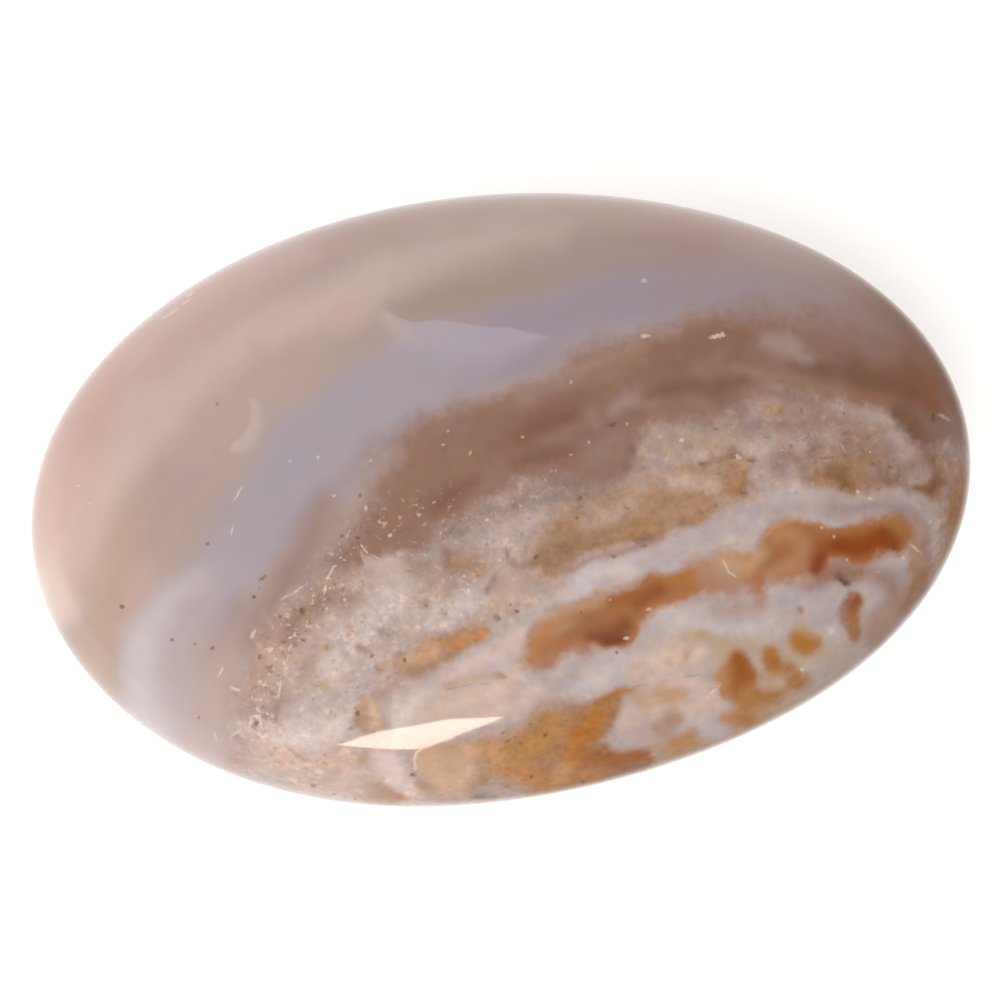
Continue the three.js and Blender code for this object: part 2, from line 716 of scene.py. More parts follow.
class MarkSheets:
    """Shares marks out over sheets, so that no two marks on a sheet lie close together.

    A sheet carries each place in the frame of the nearest mark, where the mark is a unit
    circle. A mark is then drawn far finer than the mesh that carries it. Its frame holds
    within the reach and this share of its half length, and outside that all is far.
    """

    GAP = 19.0
    REACH = 9.0
    LENGTH_SHARE = 0.5
    FAR = 40.0

    def __init__(self, name: str, marks: tuple[Mark, ...]) -> None:
        """Sorts the marks on to sheets, each with a name of its own."""
        self.sheets: dict[str, list[Mark]] = {}
        for mark in marks:
            for number in range(len(marks)):
                sheet = self.sheets.setdefault(f"{name}_{number}", [])
                if all(math.hypot(mark.x - m.x, mark.y - m.y) > self.GAP for m in sheet):
                    sheet.append(mark)
                    break

    def paint(self, sheet: str, plan: np.ndarray) -> np.ndarray:
        """Returns each point's place in its nearest mark's frame, and that mark's strength."""
        values = np.tile([self.FAR, self.FAR, self.FAR, 0.0], (len(plan), 1))
        for mark in self.sheets[sheet]:
            away = plan - (mark.x, mark.y)
            reach = self.REACH + mark.half_length * self.LENGTH_SHARE
            near = np.linalg.norm(away, axis=1) < reach
            turn = math.radians(mark.turn)
            along = away[near] @ (math.cos(turn), -math.sin(turn)) / mark.half_length
            across = away[near] @ (-math.sin(turn), -math.cos(turn)) / mark.half_width
            level = np.zeros(len(along))
            values[near] = np.column_stack([along, across, level, level + mark.strength])
        return values


WASH = Layer("wash", Tint.TAUPE, patches=(), drifts=(
    Drift("outer rim, left end", (Tint.SHELL_PINK, Tint.SHELL_PINK, Tint.PETAL_ROSE), 42, 1.0, (
        (25, 560, 60), (40, 470, 60), (85, 385, 60))),
    Drift("outer rim, upper left",
        (Tint.PETAL_ROSE, Tint.PETAL_DUSK, Tint.ROSE, Tint.ROSE_BROWN, Tint.TAUPE_RIM), 36, 1.0, (
        (85, 385, 55), (165, 300, 50), (255, 240, 46), (360, 204, 42), (470, 185, 42))),
    Drift("outer rim, top", (Tint.TAUPE_RIM, Tint.TAUPE_RIM, Tint.CLAY), 34, 1.0, (
        (470, 185, 45), (580, 180, 45), (700, 202, 45))),
    Drift("outer rim, right", (Tint.CLAY, Tint.CLAY_DIM, Tint.UMBER, Tint.RIM_UMBER), 34, 1.0, (
        (700, 212, 45), (800, 262, 38), (880, 320, 40), (960, 420, 40))),
    Drift("second band, left", (Tint.PETAL_DUSK, Tint.TAUPE_COOL, Tint.TAUPE_WARM), 34, 1.0, (
        (120, 590, 26), (160, 500, 40), (205, 420, 46))),
    Drift("second band, middle", (Tint.TAUPE_WARM, Tint.TAUPE_WARM, Tint.TAUPE, Tint.TAUPE_DIM), 34, 1.0, (
        (205, 420, 46), (280, 370, 44), (350, 325, 36), (450, 292, 30))),
    Drift("second band, right", (Tint.TAUPE_DIM, Tint.TAUPE_DIM, Tint.CLAY_DIM), 30, 1.0, (
        (450, 292, 30), (560, 262, 30), (700, 252, 26))),
    Drift("left edge", (Tint.CREAM, Tint.SHELL_PINK, Tint.PETAL_ROSE), 24, 0.9, (
        (36, 610, 16), (48, 525, 34), (95, 430, 26))),
    Drift("shell streak, left", (Tint.SHELL, Tint.SHELL, Tint.SHELL_SOFT), 24, 1.0, (
        (84, 560, 14), (104, 495, 24), (150, 415, 26))),
    Drift("shell streak, right",
        (Tint.SHELL_SOFT, Tint.SHELL_SOFT, Tint.SHELL_SOFT, Tint.SHELL_GREY), 24, 1.0, (
        (150, 415, 26), (245, 335, 22), (310, 312, 22), (382, 284, 22))),
    Drift("upper petal", (Tint.PETAL_DUSK, Tint.ROSE), 20, 0.7, (
        (150, 345, 16), (225, 282, 18), (300, 252, 16))),
    Drift("top haze", (Tint.SHELL_GREY, Tint.TAUPE_PALE), 26, 0.85, (
        (366, 274, 16), (430, 258, 22), (500, 240, 18), (550, 230, 10))),
    Drift("brown top edge", (Tint.CLAY,), 14, 0.5, ((560, 203, 8), (690, 216, 8), (760, 245, 8))),
    Drift("mauve spots", (Tint.ROSE,), 18, 0.6, ((165, 368, 12), (202, 326, 12), (238, 302, 9))),
    Drift("peach spot", (Tint.PETAL,), 14, 0.6, ((340, 318, 10), (362, 302, 10))),
    Drift("straw streak", (Tint.STRAW_GREY, Tint.STRAW, Tint.STRAW), 20, 0.9, (
        (160, 478, 10), (136, 520, 16), (112, 580, 18), (96, 650, 20), (96, 680, 20))),
    Drift("edge cream", (Tint.CREAM,), 20, 0.65, ((42, 585, 12), (62, 612, 12))),
    Drift("haze in straw", (Tint.TAUPE_COOL,), 18, 0.8, ((186, 478, 16), (172, 510, 18), (158, 545, 16))),
    Drift("tan by haze", (Tint.STRAW_GREY,), 14, 0.5, ((226, 466, 8), (205, 512, 9), (178, 560, 9))),
    Drift("olive streak", (Tint.OLIVE_GREY,), 14, 0.9, (
        (400, 308, 8), (430, 304, 12), (480, 294, 14), (530, 280, 10))),
    Drift("olive streak end", (Tint.OLIVE_GREY, Tint.TAUPE_DIM), 14, 0.7, (
        (530, 280, 10), (600, 262, 8), (650, 256, 6))),
    Drift("lilac band, foot", (Tint.LILAC_PALE, Tint.LILAC_PALE, Tint.LILAC_GREY), 24, 1.0, (
        (190, 775, 34), (168, 710, 32), (172, 645, 32))),
    Drift("lilac band, left", (Tint.LILAC_GREY, Tint.LILAC, Tint.LILAC), 24, 1.0, (
        (172, 645, 32), (225, 575, 34), (270, 510, 38), (320, 452, 42))),
    Drift("lilac band, middle", (Tint.LILAC, Tint.LILAC, Tint.LILAC_DIM), 24, 1.0, (
        (320, 452, 42), (375, 405, 42), (440, 368, 36), (520, 340, 32))),
    Drift("lilac band, right", (Tint.LILAC_DIM, Tint.LILAC_DIM, Tint.LILAC_WARM), 22, 1.0, (
        (520, 340, 32), (590, 308, 30), (670, 292, 28), (750, 288, 24))),
    Drift("lilac band, end", (Tint.LILAC_WARM, Tint.LILAC_ROSE), 20, 0.9, (
        (750, 288, 24), (830, 304, 16), (880, 335, 10))),
    Drift("lilac bloom", (Tint.BLOOM, Tint.BLOOM, Tint.LILAC_PALE), 16, 0.95, (
        (156, 740, 12), (138, 690, 18), (140, 640, 17), (162, 604, 12), (200, 580, 8))),
    Drift("cool heart of the lilac", (Tint.LILAC_COOL,), 18, 0.7, (
        (262, 508, 14), (305, 452, 16), (345, 405, 14), (385, 378, 10))),
    Drift("warm inside the lilac", (Tint.BLUSH, Tint.BLUSH, Tint.LILAC_BROWN), 22, 0.9, (
        (205, 780, 26), (206, 715, 24), (218, 655, 22), (240, 610, 12))),
    Drift("plum shade", (Tint.PLUM,), 18, 0.9, (
        (258, 640, 12), (284, 590, 15), (308, 538, 16), (326, 502, 12))),
    Drift("plum edge", (Tint.LILAC_BROWN,), 16, 0.6, (
        (345, 480, 8), (372, 446, 8), (420, 426, 6), (500, 404, 6))),
))
COCOA = Layer("cocoa", Tint.COCOA, patches=(
    Patch("brown band", (
        (262, 660, 18), (292, 600, 18), (326, 558, 20), (358, 512, 22), (378, 470, 22), (398, 432, 18),
        (420, 417, 15), (450, 410, 13), (500, 397, 11), (530, 384, 10), (556, 371, 10), (578, 355, 11),
        (600, 342, 12), (640, 336, 12), (670, 325, 12), (700, 315, 14), (755, 306, 16), (800, 313, 18),
        (850, 323, 20), (900, 345, 20), (940, 385, 12), (985, 440, 8), (1000, 520, 8), (700, 520, 20),
        (480, 600, 20), (330, 690, 20))),
), drifts=(
    Drift("plum start", (Tint.PLUM,), 16, 1.0, ((282, 612, 14), (308, 562, 16), (336, 515, 14))),
    Drift("pale top of the plum", (Tint.COCOA_PALE,), 14, 0.8, (
        (340, 515, 12), (360, 480, 12), (385, 452, 10))),
    Drift("warm heart, left", (Tint.COCOA_WARM,), 18, 0.9, (
        (382, 540, 10), (400, 505, 18), (430, 470, 22), (480, 445, 18))),
    Drift("warm heart, right", (Tint.COCOA_RED,), 18, 0.9, (
        (500, 440, 18), (560, 402, 18), (620, 378, 14), (690, 362, 16))),
    Drift("tan cloud", (Tint.COCOA_TAN,), 11, 0.7, (
        (604, 352, 6), (640, 352, 10), (612, 372, 9), (574, 386, 5))),
    Drift("warm top right", (Tint.COCOA_RED,), 14, 0.9, ((690, 346, 12), (735, 334, 14), (740, 356, 14))),
    Drift("deep red, left", (Tint.COCOA_DEEP,), 12, 0.9, ((436, 508, 8), (452, 496, 9), (474, 480, 5))),
    Drift("deep red, middle", (Tint.COCOA_DEEP,), 10, 0.9, ((524, 438, 8), (546, 424, 11), (572, 412, 8))),
    Drift("deep brown, low", (Tint.COCOA_DEEP,), 10, 0.8, ((515, 462, 6), (545, 456, 9), (572, 452, 7))),
    Drift("purple brown", (Tint.COCOA_PLUM,), 12, 0.8, ((586, 436, 9), (612, 424, 9), (640, 408, 9))),
    Drift("smoky lilac blot", (Tint.COCOA_PALE,), 9, 0.9, ((614, 408, 7), (628, 396, 9), (650, 396, 6))),
    Drift("pale post", (Tint.COCOA_PALE,), 9, 0.4, ((592, 410, 4), (598, 428, 4))),
    Drift("mauve low", (Tint.COCOA_PALE,), 12, 0.45, ((600, 456, 6), (622, 440, 5))),
    Drift("rusty low", (Tint.COCOA_DEEP,), 8, 0.5, ((630, 462, 4), (636, 448, 4))),
    Drift("rusty right", (Tint.COCOA_RED,), 9, 0.8, ((664, 342, 7), (680, 368, 8), (664, 384, 7))),
    Drift("mauve right", (Tint.COCOA_ROSE,), 8, 0.7, ((700, 366, 7), (712, 378, 5))),
    Drift("grey edge blots", (Tint.COCOA_PALE,), 9, 0.7, (
        (520, 402, 5), (560, 384, 5), (592, 362, 5), (640, 346, 5))),
    Drift("dark low streak", (Tint.COCOA_DARK,), 10, 0.8, (
        (650, 392, 6), (690, 386, 7), (716, 392, 9), (742, 382, 6))),
    Drift("dark right", (Tint.COCOA_DARK, Tint.COCOA_DARK, Tint.RIM_UMBER), 14, 0.9, (
        (800, 366, 8), (850, 370, 13), (900, 386, 14), (930, 402, 13))),
    Drift("dark right, rim", (Tint.RIM_UMBER,), 14, 0.85, ((904, 360, 9), (926, 385, 12))),
    Drift("brown by the rim", (Tint.COCOA_DARK,), 9, 0.8, ((902, 414, 8), (914, 430, 9), (926, 440, 5))),
    Drift("pale by the rim", (Tint.COCOA_ROSE, Tint.SUGAR_ROSE_DIM), 12, 0.9, (
        (958, 412, 8), (958, 440, 10), (962, 470, 10))),
    Drift("rose top right", (Tint.COCOA_ROSE,), 16, 0.7, ((810, 330, 8), (850, 334, 9), (890, 352, 7))),
    Drift("tan streak", (Tint.COCOA_TAN,), 7, 0.9, (
        (738, 366, 4), (764, 376, 6), (800, 384, 5), (846, 394, 4))),
    Drift("tan streak foot", (Tint.RIM_CLAY,), 7, 0.55, ((846, 396, 3), (874, 399, 5), (894, 402, 4))),
    Drift("pale lens", (Tint.LENS_PALE,), 9, 0.85, ((764, 338, 5), (786, 346, 9), (806, 358, 8))),
    Drift("pale lens tail", (Tint.COCOA_ROSE,), 9, 0.6, ((808, 352, 5), (838, 366, 4))),
))
SUGAR = Layer("sugar", Tint.SUGAR, patches=(
    Patch("sugar field", (
        (226, 800, 16), (228, 745, 18), (238, 695, 18), (252, 655, 14), (270, 622, 12), (292, 596, 12),
        (318, 580, 14), (342, 576, 14), (362, 564, 10), (384, 554, 6), (409, 552, 8), (445, 534, 11),
        (470, 518, 11), (494, 497, 11), (515, 486, 11), (542, 480, 11), (568, 473, 9), (584, 480, 10),
        (606, 484, 10), (630, 474, 9), (640, 452, 9), (643, 431, 9), (662, 424, 10), (690, 424, 10),
        (722, 420, 10), (744, 406, 10), (754, 390, 10), (774, 389, 10), (808, 397, 8), (850, 404, 7),
        (880, 408, 8), (896, 424, 9), (912, 446, 9), (934, 452, 8), (948, 440, 10), (985, 470, 8),
        (1000, 700, 8), (820, 840, 8), (560, 900, 8), (300, 880, 8))),
), drifts=(
    Drift("rosy left", (Tint.SUGAR_ROSE,), 16, 0.9, (
        (240, 760, 12), (245, 710, 12), (262, 660, 10), (280, 626, 10))),
    Drift("pale by the pit", (Tint.SUGAR_PALE,), 12, 0.75, ((236, 728, 8), (262, 736, 10))),
    Drift("tan left", (Tint.SUGAR_TAN,), 12, 0.85, (
        (266, 668, 14), (284, 640, 10), (306, 608, 9), (336, 582, 9), (352, 570, 8))),
    Drift("brown left", (Tint.COARSE_BROWN,), 14, 0.75, (
        (286, 640, 8), (300, 614, 12), (320, 602, 11), (350, 598, 8), (366, 602, 6))),
    Drift("brown low left", (Tint.SUGAR_TAN, Tint.SUGAR_BROWN), 10, 0.7, (
        (262, 692, 7), (282, 700, 8), (278, 716, 5))),
    Drift("brown dust", (Tint.SUGAR_ROSE,), 10, 0.7, ((310, 640, 8), (318, 662, 7), (300, 672, 6))),
    Drift("dusk in the pale", (Tint.SUGAR_LILAC, Tint.SUGAR_MAUVE), 12, 0.5, (
        (336, 634, 9), (382, 634, 8))),
    Drift("pale low left", (Tint.LOW_WHITE,), 18, 0.95, ((280, 738, 12), (312, 732, 17), (344, 720, 14))),
    Drift("pale middle left", (Tint.SUGAR_PALE,), 16, 0.8, (
        (330, 672, 12), (372, 616, 12), (400, 602, 12))),
    Drift("lilac grey left", (Tint.SUGAR_LILAC,), 14, 0.7, (
        (308, 704, 9), (320, 718, 9), (350, 690, 9), (392, 650, 7))),
    Drift("peach low left", (Tint.LOW_PEACH,), 14, 0.85, (
        (262, 752, 9), (300, 768, 10), (340, 764, 12), (372, 770, 8))),
    Drift("peach foot", (Tint.SUGAR_PEACH,), 12, 0.8, ((300, 785, 8), (350, 790, 8), (420, 796, 8))),
    Drift("pink foot", (Tint.LOW_PINK,), 9, 0.9, ((384, 756, 7), (390, 772, 9), (408, 788, 6))),
    Drift("pale fan", (Tint.SUGAR_PALE,), 14, 0.55, ((470, 606, 10), (440, 616, 12), (420, 630, 9))),
    Drift("pale corner", (Tint.SUGAR_CREAM,), 9, 0.9, ((390, 566, 6), (400, 576, 7), (384, 592, 7))),
    Drift("grey heart", (Tint.SUGAR_GREY,), 14, 0.95, ((424, 562, 8), (462, 536, 11), (484, 520, 12))),
    Drift("grey field, top", (Tint.SUGAR_DUSK,), 15, 0.9, (
        (500, 508, 9), (540, 496, 12), (570, 500, 10), (606, 488, 9))),
    Drift("pink grey dome", (Tint.SUGAR_DOME,), 10, 0.9, ((516, 528, 8), (530, 540, 11), (545, 520, 8))),
    Drift("plum dust", (Tint.SUGAR_MAUVE,), 10, 0.8, ((420, 546, 6), (448, 534, 6), (476, 512, 6))),
    Drift("plum post", (Tint.SUGAR_PLUM,), 7, 0.95, ((446, 554, 5), (448, 568, 5))),
    Drift("tan by the post", (Tint.SUGAR_TAN_DEEP,), 10, 0.9, ((458, 562, 9), (474, 562, 9))),
    Drift("brown round the post", (Tint.SUGAR_TAN_DEEP,), 12, 0.65, (
        (412, 560, 7), (436, 576, 10), (464, 566, 9))),
    Drift("smoke", (Tint.SUGAR_SMOKE,), 14, 0.9, (
        (556, 480, 8), (577, 482, 10), (604, 470, 11), (634, 458, 9))),
    Drift("green grey", (Tint.SUGAR_GREEN,), 14, 0.9, (
        (645, 450, 12), (676, 438, 14), (705, 428, 12), (742, 430, 8))),
    Drift("cream grey", (Tint.SUGAR_CREAM_DIM,), 12, 0.7, ((665, 452, 8), (700, 440, 8), (742, 440, 8))),
    Drift("rosy middle right", (Tint.SUGAR_ROSE_DIM,), 14, 0.95, (
        (745, 424, 10), (800, 422, 14), (850, 424, 13), (880, 446, 12))),
    Drift("rosy right", (Tint.SUGAR_ROSE_DIM,), 14, 0.95, (
        (820, 446, 8), (870, 462, 8), (905, 466, 12), (945, 455, 10), (965, 480, 10))),
    Drift("brown above the band", (Tint.RIM_BROWN,), 12, 0.9, ((868, 484, 8), (900, 484, 9))),
    Drift("brown right", (Tint.SUGAR_BROWN,), 12, 0.85, (
        (774, 468, 8), (786, 452, 8), (802, 464, 10), (812, 450, 8))),
    Drift("brown by the ochre", (Tint.RIM_BROWN,), 12, 0.8, ((850, 442, 8), (880, 458, 8), (886, 478, 8))),
    Drift("tan right", (Tint.SUGAR_BROWN,), 11, 0.95, ((758, 393, 9), (790, 400, 8), (820, 404, 5))),
    Drift("mauve dust, right", (Tint.SUGAR_MAUVE,), 9, 0.75, ((736, 414, 7), (750, 420, 7))),
    Drift("brown tip", (Tint.RIM_UMBER,), 8, 0.95, ((934, 456, 3), (938, 472, 6), (934, 492, 6))),
))
OCHRE = Layer("ochre", Tint.OCHRE, patches=(
    Patch("ochre field", (
        (566, 512, 13), (596, 500, 14), (622, 484, 14), (650, 474, 12), (680, 470, 10), (702, 462, 10),
        (738, 455, 10), (757, 468, 10), (756, 486, 7), (744, 498, 7), (716, 512, 10), (702, 528, 8),
        (676, 528, 7), (660, 540, 6), (646, 546, 6), (634, 541, 6), (612, 549, 7), (590, 557, 7),
        (572, 570, 10), (556, 584, 10), (542, 582, 10), (528, 564, 12), (542, 534, 16))),
    Patch("ochre by rim", (
        (808, 476, 9), (820, 457, 11), (850, 452, 11), (876, 462, 10), (874, 480, 8), (856, 494, 5),
        (838, 494, 5), (820, 487, 6))),
    Patch("ochre at rim", (
        (906, 484, 5), (922, 486, 5), (936, 478, 6), (942, 462, 6), (947, 480, 5), (936, 500, 5),
        (920, 496, 5))),
    Patch("right rim streak", (
        (948, 470, 12), (975, 470, 9), (985, 540, 8), (966, 600, 10), (950, 590, 10), (942, 560, 8),
        (942, 510, 8))),
    Patch("small lens", (
        (380, 672, 5), (383, 664, 6), (394, 655, 6), (410, 648, 7), (424, 640, 7), (446, 632, 6),
        (462, 627, 6), (484, 624, 5), (488, 632, 5), (470, 643, 4), (452, 656, 5), (440, 668, 5),
        (424, 676, 5), (404, 676, 6), (390, 668, 6))),
    Patch("low left lens", (
        (356, 712, 6), (362, 698, 5), (374, 700, 5), (380, 712, 5), (379, 728, 5), (370, 738, 6),
        (358, 728, 7))),
    Patch("bottom patch", (
        (412, 764, 8), (420, 748, 7), (440, 742, 7), (462, 742, 7), (478, 738, 7), (496, 734, 8),
        (512, 728, 8), (526, 714, 9), (546, 704, 8), (568, 700, 6), (590, 701, 5), (606, 696, 4),
        (614, 687, 4), (626, 684, 4), (642, 684, 4), (638, 692, 4), (624, 698, 4), (620, 714, 4),
        (614, 730, 5), (606, 742, 6), (630, 746, 5), (652, 748, 6), (656, 758, 7), (640, 800, 8),
        (560, 815, 8), (536, 796, 7), (510, 785, 7), (490, 783, 8), (470, 796, 9), (440, 794, 9),
        (416, 782, 9))),
    Patch("low smudge", (
        (360, 796, 7), (376, 784, 7), (396, 788, 7), (404, 800, 7), (400, 812, 6), (366, 810, 6))),
), drifts=(
    Drift("field, left", (Tint.OCHRE_BROWN,), 12, 0.9, ((548, 560, 8), (570, 545, 9), (590, 530, 8))),
    Drift("field, tan", (Tint.OCHRE_TAN,), 12, 0.8, (
        (606, 512, 8), (640, 488, 10), (676, 478, 10), (720, 474, 10))),
    Drift("field, grey brow", (Tint.SUGAR_TAN,), 12, 0.65, ((590, 524, 7), (622, 502, 8), (652, 492, 7))),
    Drift("field, olive", (Tint.OCHRE_OLIVE,), 9, 0.9, ((628, 528, 6), (652, 522, 8), (664, 530, 4))),
    Drift("field, dark spot", (Tint.OCHRE_DARK,), 7, 0.9, ((640, 543, 7), (654, 541, 5))),
    Drift("field, orange", (Tint.OCHRE_ORANGE,), 8, 0.8, ((652, 497, 6), (664, 502, 5))),
    Drift("field, orange middle", (Tint.OCHRE_ORANGE,), 8, 0.8, (
        (688, 500, 7), (696, 518, 6), (680, 512, 5))),
    Drift("field, pale gap", (Tint.SUGAR_PEACH,), 9, 0.85, ((672, 484, 7), (706, 484, 8), (722, 496, 6))),
    Drift("field, right", (Tint.OCHRE_TAN, Tint.OCHRE_ORANGE), 8, 0.8, (
        (712, 460, 6), (740, 468, 7), (745, 482, 5))),
    Drift("field, light right", (Tint.OCHRE_TAN,), 9, 0.7, ((640, 504, 7), (664, 512, 7), (702, 508, 7))),
    Drift("field, red streak", (Tint.OCHRE_RED,), 6, 0.8, ((722, 494, 3), (742, 491, 4), (752, 494, 3))),
    Drift("field, foot", (Tint.OCHRE_BROWN,), 7, 0.7, ((590, 552, 4), (612, 544, 3))),
    Drift("by rim", (Tint.OCHRE_BROWN, Tint.OCHRE_DARK), 8, 1.0, (
        (824, 468, 7), (838, 476, 10), (844, 486, 7))),
    Drift("at rim", (Tint.OCHRE_DARK,), 5, 0.9, ((912, 488, 5), (924, 496, 5), (936, 480, 6))),
    Drift("right rim", (Tint.RIM_ROSE, Tint.RIM_CLAY, Tint.RIM_LIGHT), 10, 1.0, (
        (955, 462, 12), (960, 500, 14), (950, 530, 12), (946, 580, 12))),
    Drift("lens tip", (Tint.LENS_ORANGE,), 9, 1.0, ((452, 641, 6), (480, 633, 7))),
    Drift("lens tip foot", (Tint.OCHRE_DEEP,), 5, 0.8, ((458, 645, 3), (476, 641, 2))),
    Drift("lens tail", (Tint.PEACH,), 10, 0.95, ((386, 668, 3), (404, 658, 6), (432, 652, 8))),
    Drift("low left", (Tint.PEACH_PALE,), 7, 0.95, ((368, 704, 7), (376, 724, 8))),
    Drift("low left, brown edge", (Tint.OCHRE_ROSE,), 6, 0.7, ((360, 706, 4), (364, 722, 4))),
    Drift("peach left", (Tint.PEACH_PALE, Tint.PEACH_WARM, Tint.PEACH_WARM), 14, 1.0, (
        (404, 762, 10), (432, 764, 16), (446, 784, 12))),
    Drift("peach middle", (Tint.PEACH_WARM, Tint.PEACH_PALE, Tint.PEACH_WARM), 11, 0.9, (
        (462, 746, 8), (470, 770, 9), (460, 790, 9))),
    Drift("bottom, honey", (Tint.HONEY_PALE, Tint.HONEY_PALE, Tint.HONEY), 14, 0.85, (
        (484, 748, 8), (502, 764, 11), (532, 776, 10))),
    Drift("bottom, olive edge", (Tint.STRAW_DEEP,), 6, 0.8, ((476, 742, 4), (480, 758, 4), (488, 774, 4))),
    Drift("bottom, rosy crumbs", (Tint.PEACH,), 8, 0.7, ((496, 742, 5), (510, 738, 6), (524, 726, 5))),
    Drift("bottom, amber", (Tint.AMBER_GLOW,), 16, 0.85, ((514, 752, 9), (540, 742, 14), (552, 724, 12))),
    Drift("bottom, deep", (Tint.AMBER_HOT,), 12, 0.95, ((572, 756, 12), (580, 732, 12), (600, 714, 10))),
    Drift("bottom, ochre heart", (Tint.HONEY_DEEP,), 9, 0.8, ((576, 734, 6), (598, 732, 6))),
    Drift("bottom, rim", (Tint.HONEY, Tint.RIM_OCHRE, Tint.RIM_OCHRE), 12, 0.9, (
        (504, 780, 6), (540, 784, 9), (600, 776, 8))),
    Drift("bottom, olive dip", (Tint.HONEY_PALE,), 8, 0.8, ((562, 768, 7), (558, 780, 6))),
    Drift("bottom, red lobe", (Tint.AMBER_RED, Tint.RIM_RUST), 8, 0.95, (
        (586, 758, 7), (618, 758, 9), (648, 754, 7))),
    Drift("bottom, tongue", (Tint.AMBER_ORANGE, Tint.HONEY), 6, 1.0, (
        (600, 698, 6), (620, 691, 5), (640, 685, 4))),
))
